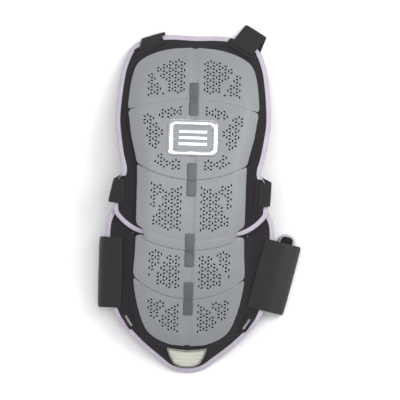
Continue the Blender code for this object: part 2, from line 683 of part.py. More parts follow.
def add_shoulder_straps(elastic):
    """Each strap leaves the wing slot, folds under, crosses the floor and comes back over the neck edge."""
    half_thick = STRAP_THICKNESS / 2
    over = 2 * SEAT_GAP + FRAME_THICKNESS + half_thick
    across = np.array((-0.5, 0.0, 0.5)) * STRAP_WIDTH

    for label, side, wing_fold, neck_fold in STRAP_FOLDS:
        wing, wing_turn, *_ = slot_place("wing")
        neck, neck_turn, *_ = slot_place("neck")
        wing_edge = np.array(panel_point(*wing_fold[:2]))
        neck_edge = np.array(panel_point(*neck_fold[:2]))

        def row(place, degrees, level):
            turn = math.radians(degrees)
            x = place[0] + across * math.cos(turn)
            y = place[1] + across * math.sin(turn)
            return np.column_stack((side * x, y, level(x, y)))

        def on_cover(x, y):
            return upper_cover_top(x, y) + over

        def in_slot(x, y):
            return arch(x, y) - GAP

        def below(x, y):
            return arch(x, y) - 2 * SEAT_GAP - half_thick

        def on_floor(x, y):
            return 0.0 * x + half_thick

        def neck_top(x, y):
            return np.maximum(on_cover(x, y), FOLD_HEIGHT)

        rows = (
            row(wing, wing_turn, in_slot),
            row(wing, wing_turn, on_cover),
            row(wing_edge, wing_fold[2], on_cover),
            row(wing_edge, wing_fold[2], below),
            *(row(panel_point(*place[:2]), place[2], on_floor) for place in STRAP_FLOOR),
            row(neck_edge, neck_fold[2], on_floor),
            row(neck_edge, neck_fold[2], neck_top),
            row(neck, neck_turn, on_cover),
            row(neck, neck_turn, in_slot),
        )
        strip(f"shoulder_strap_{label}", rows, STRAP_RADII, STRAP_THICKNESS, elastic)


def belt_frame(degrees, offset):
    """Seam middle of a belt half, its direction outwards and its direction across."""
    turn = math.radians(degrees)
    out = np.array((math.cos(turn), math.sin(turn)))
    wide = np.array((-math.sin(turn), math.cos(turn)))
    return np.array((BELT_SEAM, offset)), out, wide


def add_waist_belt(elastic, foam, textile):
    """Two halves sewn on the lower cover, folded under the panel and closed on each other on the floor."""
    half_thick = BELT_THICKNESS / 2
    across = np.linspace(-0.5, 0.5, 5) * BELT_WIDTH
    on_panel = HALF_PANEL - BELT_SEAM + BELT_EDGE_ROOM

    for label, side, degrees, offset, overhang, lift in BELT_HALVES:
        seam, out, wide = belt_frame(degrees, offset)

        def row(distance, share, floor=half_thick):
            place = seam + distance * out + across[:, None] * wide
            top = lower_cover_top(place[:, 0], place[:, 1]) + SEAT_GAP + half_thick
            return np.column_stack((side * place[:, 0], place[:, 1], share * top + (1 - share) * floor))

        reach = on_panel + overhang
        rows = [row(0.0, 1.0), row(on_panel / 2, 1.0), row(on_panel, 1.0), row(reach, lift), row(reach, 0.0)]
        radii = list(BELT_RADII)
        if label == "right":
            stacked = half_thick + BELT_THICKNESS + GAP
            end = BELT_OVERLAP / 2 - BELT_SEAM
            rows += [row(end + 2 * BELT_STEP_RUN, 0.0), row(end + BELT_STEP_RUN, 0.0, stacked)]
            radii += BELT_STEP_RADII
            rows.append(row(-BELT_SEAM - BELT_OVERLAP / 2, 0.0, stacked))
        else:
            rows.append(row(-BELT_SEAM - BELT_OVERLAP / 2, 0.0))
        radii.append(0)
        strip(f"waist_belt_{label}", rows, radii, BELT_THICKNESS, elastic)

    seam, out, wide = belt_frame(*BELT_HALVES[1][2:4])
    place = seam + END_PAD_REACH * out + (END_PAD_TOP - END_PAD_LENGTH / 2) * wide
    low = BELT_THICKNESS + GAP
    high = low + END_PAD_THICKNESS
    size = np.array((END_PAD_WIDTH, END_PAD_LENGTH))
    turn = BELT_HALVES[1][2]
    inner = rounded_box(place, size - 2 * END_PAD_RIM, END_PAD_RADIUS - END_PAD_RIM, turn)
    height_solid("belt_end_pad", rounded_box(place, size, END_PAD_RADIUS, turn),
                 lambda x, y: low + 0.0 * x, lambda x, y: high + 0.0 * x, foam)
    height_solid("belt_end_cover", inner, lambda x, y: high + GAP + 0.0 * x,
                 lambda x, y: high + GAP + COVER_THICKNESS + 0.0 * x, textile)


def main():
    for old in list(bpy.data.objects):
        bpy.data.objects.remove(old, do_unlink=True)
    foam = material("pale_foam", (0.46, 0.41, 0.48), 0.85)
    textile = material("black_textile", (0.02, 0.02, 0.022), 0.9)
    elastic = material("black_elastic", (0.022, 0.021, 0.02), 0.85)
    plastic = material("grey_plastic", (0.24, 0.25, 0.26), 0.45)
    dark_plastic = material("dark_grey_plastic", (0.10, 0.10, 0.11), 0.5)
    silver = material("bright_silver", (0.8, 0.8, 0.8), 0.2, 1.0)
    rubber = material("warm_grey_rubber", (0.39, 0.39, 0.33), 0.6)
    add_panels(foam, textile)
    add_shell(plastic, dark_plastic)
    add_badge(silver, dark_plastic)
    add_tail_pad(rubber)
    add_slot_frames(textile)
    add_shoulder_straps(elastic)
    add_waist_belt(elastic, foam, textile)


main()
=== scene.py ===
"""Looks of a back protector that lies with its shell up on its folded belt and straps.

Every piece is a surface over the plan of the back: X runs across, +Y towards the neck, +Z up. A flat piece
is its outline carried through a rounded edge, with both faces lifted to the arch of the back. A strap is a
band carried along its folds.
"""

import itertools
import math

import bmesh
import bpy
import numpy as np
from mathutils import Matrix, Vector
from mathutils.geometry import delaunay_2d_cdt


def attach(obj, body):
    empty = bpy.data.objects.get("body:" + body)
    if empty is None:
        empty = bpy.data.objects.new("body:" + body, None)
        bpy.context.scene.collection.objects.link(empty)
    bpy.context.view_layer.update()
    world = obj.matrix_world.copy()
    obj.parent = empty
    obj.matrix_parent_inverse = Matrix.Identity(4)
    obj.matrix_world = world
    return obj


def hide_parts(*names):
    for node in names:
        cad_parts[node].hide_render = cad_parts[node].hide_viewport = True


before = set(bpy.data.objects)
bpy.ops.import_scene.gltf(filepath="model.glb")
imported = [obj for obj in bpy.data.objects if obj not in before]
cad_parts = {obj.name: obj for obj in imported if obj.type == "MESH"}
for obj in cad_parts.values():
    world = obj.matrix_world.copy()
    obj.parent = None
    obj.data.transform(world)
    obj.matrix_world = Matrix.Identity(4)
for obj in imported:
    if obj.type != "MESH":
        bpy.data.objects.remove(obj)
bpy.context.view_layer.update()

# Panels, as in the frame
PANEL_LENGTH = 0.528
PANEL_WIDTH = 0.262
NECK_REACH = 0.3716
FOAM_THICKNESS = 0.007
LIP_THICKNESS = 0.003
COVER_THICKNESS = 0.0015
RIM_WIDTH = 0.0072
CORE_RISE = 0.006
WELT_WIDTH = 0.012
LIP_SLOPE = 0.006
LAYER_STEP = 0.0055  # how far the lower panel lies under the upper one

# Arch of the back
ARCH_RADIUS = 0.520
SIDE_RADIUS = 0.200
FLAT_WIDTH = 0.090
NECK_LIFT = 0.0032

# Shell
SHELL_LENGTH = 0.466
SHELL_WIDTH = 0.2036
SHELL_INSET = 0.0193
FLANK_WIDTH = 0.018
FLANK_KNEE = 0.22  # share of the flank over which it bends into the plateau
PLATE_RISE = 0.0047  # from the cover to a plate's upper face
PLATE_STEP = 0.0018  # how far a plate stands over its tucked neighbour
PLATE_THIN = 0.0016  # wall where two plates lie on each other
TUCK_DROP = 0.0014
TUCK_RUN = 0.003
BED_GAP = 0.0004
CORNER_RADIUS = 0.0062
SEAM_OVERLAP = 0.008
SEAM_GAP = 0.0009
TUCK_ROOM = 0.012
TONGUE_WIDTH = 0.142
SHOULDER_WIDTH = 0.827
SHOULDER_TOP = 0.594
SHOULDER_FOOT = 0.614
PLATE_4_TOP = 0.630
CHANNEL_FLOOR = 0.0048  # half widths of the groove along the spine
CHANNEL_TOP = 0.0072
CHANNEL_DEPTH = 0.0012
CHANNEL_START = 0.028  # length share where the groove has its full depth
NOTCH_WIDTH = 0.0108
NOTCH_SLOPE = 0.0018
NOTCH_DEPTH = 0.0020
CREASE_WIDTH = 0.0012
CREASE_DEPTH = 0.0003

# Clips
CLIP_WIDTH = 0.0145
CLIP_WAIST = 0.0012
CLIP_LENGTH = 0.051
CLIP_THICKNESS = 0.0022

# Lens slots
COLUMN_PITCH = 0.00915
ROW_PITCH = 0.01085
FIRST_COLUMN = 0.0158
LENS_LENGTH = 0.0050
LENS_WIDTH = 0.0023
LENS_EASE = 0.00022  # rounding round each slot

# Badge
BADGE_WIDTH = 0.078
BADGE_HEIGHT = 0.056
BADGE_RADIUS = 0.010
BADGE_BAND = 0.0092
BADGE_THICKNESS = 0.003
BEVEL_WIDTH = 0.0026
BADGE_PLACE = 0.3045
INSERT_THICKNESS = 0.0015
BAR_LENGTH = 0.044
BAR_WIDTH = 0.0052
BAR_PITCH = 0.0095
BAR_THICKNESS = 0.0009

# Tail pad
PAD_THICKNESS = 0.0035
PAD_RIM = 0.0032
PAD_GROOVES = (0.36, 0.60, 0.80)

# Straps and belt
STRAP_WIDTH = 0.038
STRAP_THICKNESS = 0.002
FOLD_HEIGHT = 0.0055
SLOT_CLEARANCE = 0.0015
HEM_SLOT_LENGTH = 0.019
HEM_SLOT_WIDTH = 0.0036
FRAME_MARGIN = 0.0045
FRAME_THICKNESS = 0.0016
BELT_WIDTH = 0.110
BELT_THICKNESS = 0.003
BELT_SEAM = 0.105
BELT_OVERLAP = 0.050
BELT_STEP_RUN = 0.022
BELT_EDGE_ROOM = 0.003
END_PAD_WIDTH = 0.026
END_PAD_LENGTH = 0.060
END_PAD_THICKNESS = 0.005
END_PAD_RADIUS = 0.010
END_PAD_RIM = 0.0035
END_PAD_REACH = 0.034
END_PAD_TOP = 0.069

GAP = 0.0003
FINE = 0.0025  # steps along an outline
SPAN = 0.0055  # steps between inner points
PANEL_SPAN = 0.0065  # the same on foam and covers
ACROSS = np.sin(np.linspace(-math.pi / 2, math.pi / 2, 15))  # places across a band, from -1 to 1

# Half outlines as (width share, length share), from the neck round to the tail
UPPER_OUTLINE = (
    (0.000, 0.002), (0.229, 0.000), (0.400, 0.002), (0.573, 0.012), (0.700, 0.027), (0.775, 0.045),
    (0.852, 0.092), (0.893, 0.150), (0.918, 0.220), (0.921, 0.261), (0.902, 0.302), (0.862, 0.360),
    (0.822, 0.400), (0.828, 0.415), (0.868, 0.431), (0.897, 0.454), (0.912, 0.486), (0.914, 0.510),
    (0.900, 0.531), (0.825, 0.554), (0.702, 0.577), (0.554, 0.592), (0.305, 0.603), (0.000, 0.607),
)
LOWER_OUTLINE = (
    (0.000, 0.550), (0.458, 0.538), (0.763, 0.513), (0.890, 0.507), (0.937, 0.525), (0.981, 0.549),
    (0.998, 0.580), (0.996, 0.652), (0.981, 0.700), (0.950, 0.757), (0.899, 0.810), (0.830, 0.848),
    (0.724, 0.878), (0.559, 0.919), (0.352, 0.961), (0.210, 0.988), (0.090, 0.998), (0.000, 1.000),
)
SHELL_OUTLINE = (
    (0.000, 0.000), (0.196, 0.002), (0.392, 0.008), (0.569, 0.018), (0.735, 0.034), (0.848, 0.052),
    (0.908, 0.072), (0.961, 0.114), (0.988, 0.162), (1.000, 0.208), (0.969, 0.255), (0.938, 0.301),
    (0.885, 0.348), (0.843, 0.388), (0.832, 0.418), (0.828, 0.500), (0.826, 0.650), (0.833, 0.697),
    (0.846, 0.744), (0.839, 0.790), (0.804, 0.837), (0.752, 0.883), (0.673, 0.930), (0.606, 0.953),
    (0.473, 0.976), (0.255, 0.995), (0.098, 0.9995), (0.000, 1.000),
)

# Seams: length share at the spine, bow radius over the half width, side that the edges bend to, plate on top
SEAMS = (
    (0.175, 2.65, -1, 2),
    (0.443, 1.62, 1, 2),
    (0.677, 1.62, 1, 3),
    (0.839, 1.25, 1, 4),
)

# Plates that climb along their length: plate, length shares where the climb starts and ends
PLATE_RAMPS = (
    (3, 0.455, 0.590),
    (4, 0.688, 0.745),
)

# Fields of slots: plate, then the half field's corners as (width share, length share)
SLOT_FIELDS = (
    (1, ((0.34, 0.046), (0.14, 0.041), (0.14, 0.153), (0.35, 0.158), (0.46, 0.116), (0.60, 0.072))),
    (1, ((0.68, 0.084), (0.63, 0.094), (0.46, 0.161), (0.72, 0.166), (0.71, 0.135))),
    (2, ((0.55, 0.211), (0.20, 0.203), (0.20, 0.231), (0.50, 0.244))),
    (2, ((0.75, 0.231), (0.69, 0.219), (0.47, 0.283), (0.48, 0.317), (0.60, 0.355), (0.72, 0.285))),
    (2, ((0.48, 0.359), (0.40, 0.375), (0.20, 0.381), (0.20, 0.416), (0.36, 0.406), (0.58, 0.390))),
    (3, ((0.61, 0.451), (0.47, 0.462), (0.42, 0.479), (0.52, 0.505), (0.55, 0.532), (0.60, 0.545))),
    (3, ((0.34, 0.472), (0.15, 0.471), (0.14, 0.613), (0.33, 0.614), (0.60, 0.592), (0.59, 0.577))),
    (4, ((0.59, 0.676), (0.41, 0.689), (0.48, 0.725), (0.58, 0.759), (0.63, 0.765), (0.62, 0.700))),
    (4, ((0.31, 0.696), (0.14, 0.697), (0.14, 0.800), (0.32, 0.802), (0.50, 0.791), (0.50, 0.769))),
    (5, ((0.61, 0.832), (0.35, 0.858), (0.41, 0.885), (0.50, 0.915), (0.60, 0.890))),
    (5, ((0.26, 0.859), (0.14, 0.861), (0.14, 0.950), (0.25, 0.949), (0.43, 0.933), (0.44, 0.919))),
)
LATTICE_START = (0.100, 0.300, 0.540, 0.704, 0.905)

TAIL_PAD = (
    (0.000, 0.9310), (0.120, 0.9285), (0.248, 0.9235), (0.210, 0.9500), (0.160, 0.9730), (0.080, 0.9830),
    (0.000, 0.9840),
)

# Strap slots: name, middle as (width share, length share), turn from X in degrees
SLOTS = (
    ("neck", 0.552, 0.0367, -30.0),
    ("wing", 0.794, 0.4690, 88.0),
    ("hem", 0.702, 0.8487, 57.5),
)

# Outer folds of the shoulder straps: side, fold past the wing, fold past the neck, each fold as
# (width share, length share, degrees)
STRAP_FOLDS = (
    ("left", -1, (0.945, 0.4640, 102.0), (0.507, 0.0030, -17.6)),
    ("right", 1, (0.937, 0.4640, 88.0), (0.720, -0.0188, -30.5)),
)
STRAP_FLOOR = (
    (0.72, 0.440, 66.0),
    (0.50, 0.280, 22.0),
    (0.49, 0.140, 0.0),
)
STRAP_RADII = (0, 0.0022, 0.0035, 0.004, 0.025, 0.040, 0.040, 0.004, 0.004, 0.0022, 0)

# Belt halves: side, turn in degrees, offset along Y at the seam, reach past the panel, height share of
# the fold
BELT_HALVES = (
    ("left", -1, 0.0, -0.0015, 0.006, 0.80),
    ("right", 1, -13.4, 0.0047, 0.028, 0.42),
)
BELT_RADII = (0, 0.006, 0.012, 0.014, 0.010)
BELT_STEP_RADII = (0.008, 0.008)

# Camera straight above the photo's middle
CAMERA_PLACE = (0.0139, 0.1147, 5.0)
CAMERA_TURN = 1.64
VIEW_WIDTH = 0.620
VIEW_LEVEL = 0.06

# Lights: name, place, size, power, colour
LIGHTS = (
    ("key", (1.9, 1.3, 2.2), 1.6, 46.0, (1.0, 0.995, 0.98)),
    ("top", (0.1, 0.6, 3.2), 2.6, 50.0, (0.98, 0.99, 1.0)),
    ("fill", (-2.2, -0.6, 1.6), 1.8, 12.0, (1.0, 0.94, 0.95)),
)
WORLD_STRENGTH = 0.55

# Waves of the knit and of the bands' ribs, in radians for each metre
KNIT_RATE = 4200.0
STRAP_RIB_RATE = 4200.0
BELT_RIB_RATE = 3000.0

BAR_CORNER = 0.0012

HALF_PANEL = PANEL_WIDTH / 2
HALF_SHELL = SHELL_WIDTH / 2
SHELL_NECK = NECK_REACH - SHELL_INSET
COVER_TOP = FOAM_THICKNESS + GAP + COVER_THICKNESS
TAIL_Y = NECK_REACH - PANEL_LENGTH
CREST_Y = (NECK_REACH + TAIL_Y) / 2 + ARCH_RADIUS * (NECK_LIFT - LAYER_STEP) / PANEL_LENGTH
CREST_Z = NECK_LIFT + (NECK_REACH - CREST_Y) ** 2 / (2 * ARCH_RADIUS)


def panel_point(width_share, length_share):
    """Point in plan from shares of the panel."""
    return np.array((width_share * HALF_PANEL, NECK_REACH - length_share * PANEL_LENGTH))


def shell_point(width_share, length_share):
    """Point in plan from shares of the shell."""
    return np.array((width_share * HALF_SHELL, SHELL_NECK - length_share * SHELL_LENGTH))


def ramp(value):
    """0 to 1 with soft ends: 3t2 - 2t3."""
    value = np.clip(value, 0.0, 1.0)
    return value * value * (3 - 2 * value)


def lengths_along(points):
    """Distance of each point along a line, from its start."""
    steps = np.linalg.norm(np.diff(points, axis=0), axis=1)
    return np.concatenate(((0.0,), np.cumsum(steps)))


def resample(points, step):
    """The same line with its points about one step apart."""
    along = lengths_along(points)
    places = np.linspace(0.0, along[-1], max(2, round(along[-1] / step)) + 1)
    return np.column_stack([np.interp(places, along, points[:, axis]) for axis in range(points.shape[1])])


def smooth_half(points, step=FINE):
    """Smooth half outline: a centripetal Catmull-Rom curve that meets the spine squarely."""
    points = np.array(points)
    mirror = np.array((-1.0, 1.0))
    padded = np.vstack((points[1] * mirror, points, points[-2] * mirror))
    spans = []
    for p0, p1, p2, p3 in zip(padded, padded[1:], padded[2:], padded[3:]):
        t1 = np.linalg.norm(p1 - p0) ** 0.5
        t2 = t1 + np.linalg.norm(p2 - p1) ** 0.5
        t3 = t2 + np.linalg.norm(p3 - p2) ** 0.5
        t = np.linspace(t1, t2, 24, endpoint=False)[:, None]
        a1 = p0 + (p1 - p0) * t / t1
        a2 = p1 + (p2 - p1) * (t - t1) / (t2 - t1)
        a3 = p2 + (p3 - p2) * (t - t2) / (t3 - t2)
        b1 = a1 + (a2 - a1) * t / t2
        b2 = a2 + (a3 - a2) * (t - t1) / (t3 - t1)
        spans.append(b1 + (b2 - b1) * (t - t1) / (t2 - t1))
    return resample(np.vstack((*spans, points[-1:])), step)


def round_corners(points, radius, sharp=math.radians(30), step=FINE):
    """The same line with each sharp corner replaced by a quadratic curve, at even steps."""
    points = np.array(points)
    along = lengths_along(points)
    legs = np.diff(points, axis=0)
    heading = np.arctan2(legs[:, 1], legs[:, 0])
    turn = np.abs((np.diff(heading) + math.pi) % (2 * math.pi) - math.pi)
    corners = np.nonzero(turn > sharp)[0] + 1
    stops = np.concatenate(((0.0,), along[corners], along[-1:]))
    parts = []
    begin = -1.0
    for order, corner in enumerate(corners):
        here = along[corner]
        cut = min(radius, 0.48 * (here - stops[order]), 0.48 * (stops[order + 2] - here))
        parts.append(points[(along > begin) & (along < here - cut)])
        start, end = (np.array([np.interp(here + side * cut, along, points[:, axis]) for axis in (0, 1)])
                      for side in (-1, 1))
        t = np.linspace(0.0, 1.0, 9)[:, None]
        parts.append((1 - t) ** 2 * start + 2 * t * (1 - t) * points[corner] + t ** 2 * end)
        begin = here + cut
    parts.append(points[along > begin])
    return resample(np.vstack(parts), step)


def whole(half):
    """Closed clockwise outline from its right half."""
    left = half[::-1] * (-1.0, 1.0)
    return np.vstack((half, left[1:-1]))


def inset(loop, distance):
    """A clockwise outline moved inwards along its normals."""
    tangent = np.roll(loop, -1, axis=0) - np.roll(loop, 1, axis=0)
    tangent /= np.linalg.norm(tangent, axis=1)[:, None]
    return loop + distance * np.column_stack((tangent[:, 1], -tangent[:, 0]))


def depth_in(loop, x, y):
    """Distance from a closed outline, positive inside."""
    x, y = np.atleast_1d(x).astype(float), np.atleast_1d(y).astype(float)
    nearest = np.full(x.shape, np.inf)
    inside = np.zeros(x.shape, dtype=bool)
    for (ax, ay), (bx, by) in zip(loop, np.roll(loop, -1, axis=0)):
        dx, dy = bx - ax, by - ay
        share = np.clip(((x - ax) * dx + (y - ay) * dy) / (dx * dx + dy * dy), 0.0, 1.0)
        nearest = np.minimum(nearest, (x - ax - share * dx) ** 2 + (y - ay - share * dy) ** 2)
        if ay != by:
            inside ^= ((ay > y) != (by > y)) & (x < ax + (y - ay) * dx / dy)
    return np.where(inside, 1.0, -1.0) * np.sqrt(nearest)


UPPER_LOOP = whole(smooth_half([panel_point(*row) for row in UPPER_OUTLINE]))
LOWER_LOOP = whole(smooth_half([panel_point(*row) for row in LOWER_OUTLINE]))
SHELL_SIDE = smooth_half([shell_point(*row) for row in SHELL_OUTLINE])
SHELL_LOOP = whole(resample(SHELL_SIDE, 2 * FINE))


def arch(x, y):
    """Underside of the upper panel: two parabolas, flat across the middle."""
    side = np.maximum(np.abs(x) - FLAT_WIDTH / 2, 0.0)
    return CREST_Z - (y - CREST_Y) ** 2 / (2 * ARCH_RADIUS) - side ** 2 / (2 * SIDE_RADIUS)


def core(x, y):
    """Rise from the shell's rim to its plateau: a straight flank that bends over a short knee."""
    share = np.maximum(depth_in(SHELL_LOOP, x, y) / FLANK_WIDTH, 0.0)
    knee = np.clip(share - 1 + FLANK_KNEE, 0.0, 2 * FLANK_KNEE)
    return CORE_RISE * (np.minimum(share, 1 + FLANK_KNEE) - knee ** 2 / (4 * FLANK_KNEE))


def channel(x, y):
    """Depth of the groove along the spine, which fades out at the neck."""
    wall = np.clip((CHANNEL_TOP - np.abs(x)) / (CHANNEL_TOP - CHANNEL_FLOOR), 0.0, 1.0)
    along = (SHELL_NECK - y) / SHELL_LENGTH
    return CHANNEL_DEPTH * ramp(wall) * ramp(along / CHANNEL_START)


def bed(x, y):
    """Padding that fills the room under the plates."""
    under = ramp(depth_in(SHELL_LOOP, x, y) / TUCK_RUN)
    return 0.0012 * under * (1 - channel(x, y) / CHANNEL_DEPTH)


def upper_cover_top(x, y):
    """Upper face of the upper panel's cover."""
    return arch(x, y) + COVER_TOP + core(x, y) + bed(x, y)


def lower_foam_top(x, y):
    """Upper face of the lower foam: a lip under the upper panel, then full, then up to the plates."""
    clear = ramp((-depth_in(UPPER_LOOP, x, y) - GAP) / LIP_SLOPE)
    welt = ramp(depth_in(SHELL_LOOP, x, y) / WELT_WIDTH + 1.0)
    swell = FOAM_THICKNESS - LIP_THICKNESS + LAYER_STEP * welt + core(x, y)
    return arch(x, y) - LAYER_STEP + LIP_THICKNESS + swell * clear


def lower_cover_top(x, y):
    """Upper face of the lower panel's cover."""
    return lower_foam_top(x, y) + GAP + COVER_THICKNESS


def climb(plate, y):
    """How far a plate stands over the lowest plates."""
    if plate == 2:
        return PLATE_STEP + 0.0 * y
    share = (SHELL_NECK - y) / SHELL_LENGTH
    for climbing, start, end in PLATE_RAMPS:
        if climbing == plate:
            return PLATE_STEP * ramp((share - start) / (end - start))
    return 0.0 * y


def seam_y(seam, x):
    """Place of a seam at a distance from the spine: an arc of its bow radius."""
    share, bow, side, _ = SEAMS[seam]
    radius = bow * HALF_SHELL
    return SHELL_NECK - share * SHELL_LENGTH + side * (radius - np.sqrt(radius ** 2 - np.square(x)))


def past_seams(plate, x, y):
    """How far a point of a plate lies past the seams under which the plate is tucked, and how near it lies
    to the seams where the plate covers its neighbour."""
    tucked, covering = np.full(np.shape(x), -1.0), np.full(np.shape(x), 1.0)
    for seam, outward in ((plate - 2, 1), (plate - 1, -1)):
        if 0 <= seam < len(SEAMS):
            past = outward * (y - seam_y(seam, np.clip(x, -HALF_SHELL, HALF_SHELL)))
            if SEAMS[seam][3] == plate:
                covering = np.minimum(covering, np.abs(past))
            else:
                tucked = np.maximum(tucked, past)
    return tucked, covering


def crease(plate, x, y):
    """Depth of the faint line that follows the lower seam of the third plate."""
    if plate != 3:
        return 0.0 * x
    line = crease_y(np.abs(x))
    reach = ramp((0.064 - np.abs(x)) / 0.004) * ramp((np.abs(x) - 0.008) / 0.004)
    return CREASE_DEPTH * np.clip(1 - np.abs(y - line) / CREASE_WIDTH, 0.0, 1.0) * reach


def crease_y(x):
    """Place of the third plate's crease, a shallow arc over its tongue."""
    return shell_point(0.0, 0.646)[1] + 3.6 * x ** 2


def plate_top(plate, x, y):
    """Upper face of a plate, with its groove, and ducked where it is tucked under its neighbour."""
    tucked, _ = past_seams(plate, x, y)
    duck = TUCK_DROP * ramp(tucked / TUCK_RUN)
    level = arch(x, y) + COVER_TOP + core(x, y) + PLATE_RISE + climb(plate, y)
    return level - channel(x, y) - crease(plate, x, y) - duck


def plate_bottom(plate, x, y):
    """Underside of a plate: down to the padding, and thin where two plates lie on each other."""
    tucked, covering = past_seams(plate, x, y)
    full = plate_top(plate, x, y) - (arch(x, y) + COVER_TOP + core(x, y) + bed(x, y) + BED_GAP)
    thin = np.maximum(ramp(1 - (covering - SEAM_OVERLAP - 0.001) / TUCK_RUN), ramp(1 + tucked / TUCK_RUN))
    return plate_top(plate, x, y) - (full + (np.minimum(PLATE_THIN, full) - full) * thin)


def bullnose(radius, steps=8):
    """Edge rows of a half round edge: inset r(1 - sin a), share of the way down (1 - cos a) / 2."""
    angle = np.linspace(0.0, math.pi, steps + 1)
    return np.column_stack((radius * (1 - np.sin(angle)), (1 - np.cos(angle)) / 2))


def eased(radius, share, foot=0.0, steps=4):
    """Edge rows with a quarter round above a straight side: inset r(1 - sin a), share s(1 - cos a)."""
    angle = np.linspace(0.0, math.pi / 2, steps + 1)
    rows = np.column_stack((radius * (1 - np.sin(angle)), share * (1 - np.cos(angle))))
    return np.vstack((rows, ((0.0, 0.93), (foot, 1.0))))


def new_piece(name, places, faces, finish, smooth=40):
    """Piece from its points and faces, which rides on the frame's one body."""
    mesh = bpy.data.meshes.new(name)
    mesh.from_pydata(np.asarray(places, float).tolist(), [], faces)
    mesh.materials.append(finish)
    mesh.shade_smooth()
    mesh.set_sharp_from_angle(angle=math.radians(smooth))
    piece = bpy.data.objects.new(name, mesh)
    bpy.context.scene.collection.objects.link(piece)
    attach(piece, "root")
    return piece


def ring_faces(upper, lower, outward=True):
    """Quads between two closed rings of point numbers."""
    ahead, under = np.roll(upper, -1), np.roll(lower, -1)
    quads = np.column_stack((upper, ahead, under, lower))
    return (quads if outward else quads[:, ::-1]).tolist()


def inner_points(loop, clear, span):
    """Staggered grid of points inside an outline."""
    low, high = loop.min(axis=0), loop.max(axis=0)
    rows = np.arange(low[1] + span / 2, high[1], span * math.sqrt(3) / 2)
    columns = np.arange(-math.ceil(-low[0] / span) * span, high[0] + span, span)
    x, y = np.meshgrid(columns, rows)
    x = x + (np.arange(len(rows)) % 2 * span / 2)[:, None]
    points = np.column_stack((x.ravel(), y.ravel()))
    return points[depth_in(loop, *points.T) > clear]


def clear_of(points, lines, room):
    """The points that lie further than some room from the points of each line."""
    for line in lines:
        near = np.hypot(*(points[:, None, :] - line[None, :, :]).transpose(2, 0, 1)).min(axis=1)
        points = points[near > room]
    return points


def triangulated(rings, lines, inner):
    """Plan points and triangles of an outline (the first ring) with holes (the other rings), and with edges
    along the lines. Also the plan's point number for each point of the rings."""
    closed = list(rings)
    sizes = [len(ring) for ring in closed]
    starts = np.cumsum([0, *sizes])
    edges = [np.column_stack((np.arange(n), np.roll(np.arange(n), -1))) + start
             for n, start in zip(sizes, starts)]
    at = starts[-1]
    for line in lines:
        edges.append(np.column_stack((np.arange(len(line) - 1), np.arange(1, len(line)))) + at)
        at += len(line)
    points = np.vstack((*closed, *lines, inner))
    given = [Vector(p) for p in points.tolist()]
    flat, _, faces, origins, *_ = delaunay_2d_cdt(given, np.vstack(edges).tolist(), [], 0, 1e-7)
    flat = np.array(flat)
    faces = np.array(faces)
    counts = np.array(list(map(len, origins)))
    number = np.full(len(points), -1)
    number[np.fromiter(itertools.chain.from_iterable(origins), int)] = np.repeat(np.arange(len(flat)), counts)
    owner = np.full(len(flat), -1)
    for index, (n, start) in enumerate(zip(sizes[1:], starts[1:]), 1):
        owner[number[start:start + n]] = index
    sides = owner[faces]
    in_hole = (sides[:, 0] > 0) & (sides[:, 0] == sides[:, 1]) & (sides[:, 0] == sides[:, 2])
    middle = flat[faces].mean(axis=1)
    kept = ~in_hole & (depth_in(closed[0], *middle.T) > 0)
    links = [number[start:start + n] for n, start in zip(sizes, starts)]
    return flat, faces[kept], links


def pressed(name, outline, top, bottom, edge, finish, holes=(), hole_ease=0.0, lines=(), span=SPAN,
            smooth=40, room=None):
    """Solid over a plan. The outline goes through the edge's rows (inset, share of the way down), and both
    faces are one triangulated plan, lifted to the two surfaces. Holes go straight through."""
    first, last = inset(outline, edge[0][0]), inset(outline, edge[-1][0])
    wide = [inset(hole, -hole_ease) for hole in holes]
    room = span * 0.5 if room is None else room
    inner = clear_of(inner_points(first, span * 0.5, span), [*wide, *lines], room)
    flat, faces, links = triangulated([first, *wide], lines, inner)
    high = np.column_stack((flat, top(*flat.T)))
    low_plan = flat.copy()
    low_plan[links[0]] = last
    low = np.column_stack((low_plan, bottom(*low_plan.T)))
    count = len(flat)
    places = [high, low]
    solid = faces.tolist() + (faces[:, ::-1] + count).tolist()
    at = 2 * count
    rings = [links[0]]
    for distance, share in edge[1:-1]:
        ring = inset(outline, distance)
        upper, lower = top(*ring.T), bottom(*ring.T)
        places.append(np.column_stack((ring, upper + (lower - upper) * share)))
        rings.append(np.arange(at, at + len(ring)))
        at += len(ring)
    rings.append(links[0] + count)
    for upper, lower in zip(rings, rings[1:]):
        solid += ring_faces(upper, lower)
    for hole, link in zip(holes, links[1:]):
        if hole_ease:
            places.append(np.column_stack((hole, top(*hole.T) - hole_ease)))
            ring = np.arange(at, at + len(hole))
            at += len(hole)
            solid += ring_faces(link, ring, False) + ring_faces(ring, link + count, False)
        else:
            solid += ring_faces(link, link + count, False)
    return new_piece(name, np.vstack(places), solid, finish, smooth)


def rounded_box(center, size, radius, degrees=0.0, step=FINE, arc=6):
    """Clockwise rounded rectangle in plan, at even steps along its sides."""
    half = np.array(size) / 2
    radius = min(radius, 0.995 * half.min())
    turn = math.radians(degrees)
    corners = []
    for corner, start in (((1, 1), 90), ((1, -1), 0), ((-1, -1), -90), ((-1, 1), -180)):
        angle = np.radians(np.linspace(start, start - 90, arc + 1))
        middle = np.array(corner) * (half - radius)
        corners.append(middle + radius * np.column_stack((np.cos(angle), np.sin(angle))))
    points = np.vstack(corners)
    sides = []
    for start, end in zip(points, np.roll(points, -1, axis=0)):
        pieces = max(1, round(np.linalg.norm(end - start) / step))
        share = np.arange(pieces)[:, None] / pieces
        sides.append(start + (end - start) * share)
    spin = np.array(((math.cos(turn), math.sin(turn)), (-math.sin(turn), math.cos(turn))))
    return np.vstack(sides) @ spin + center


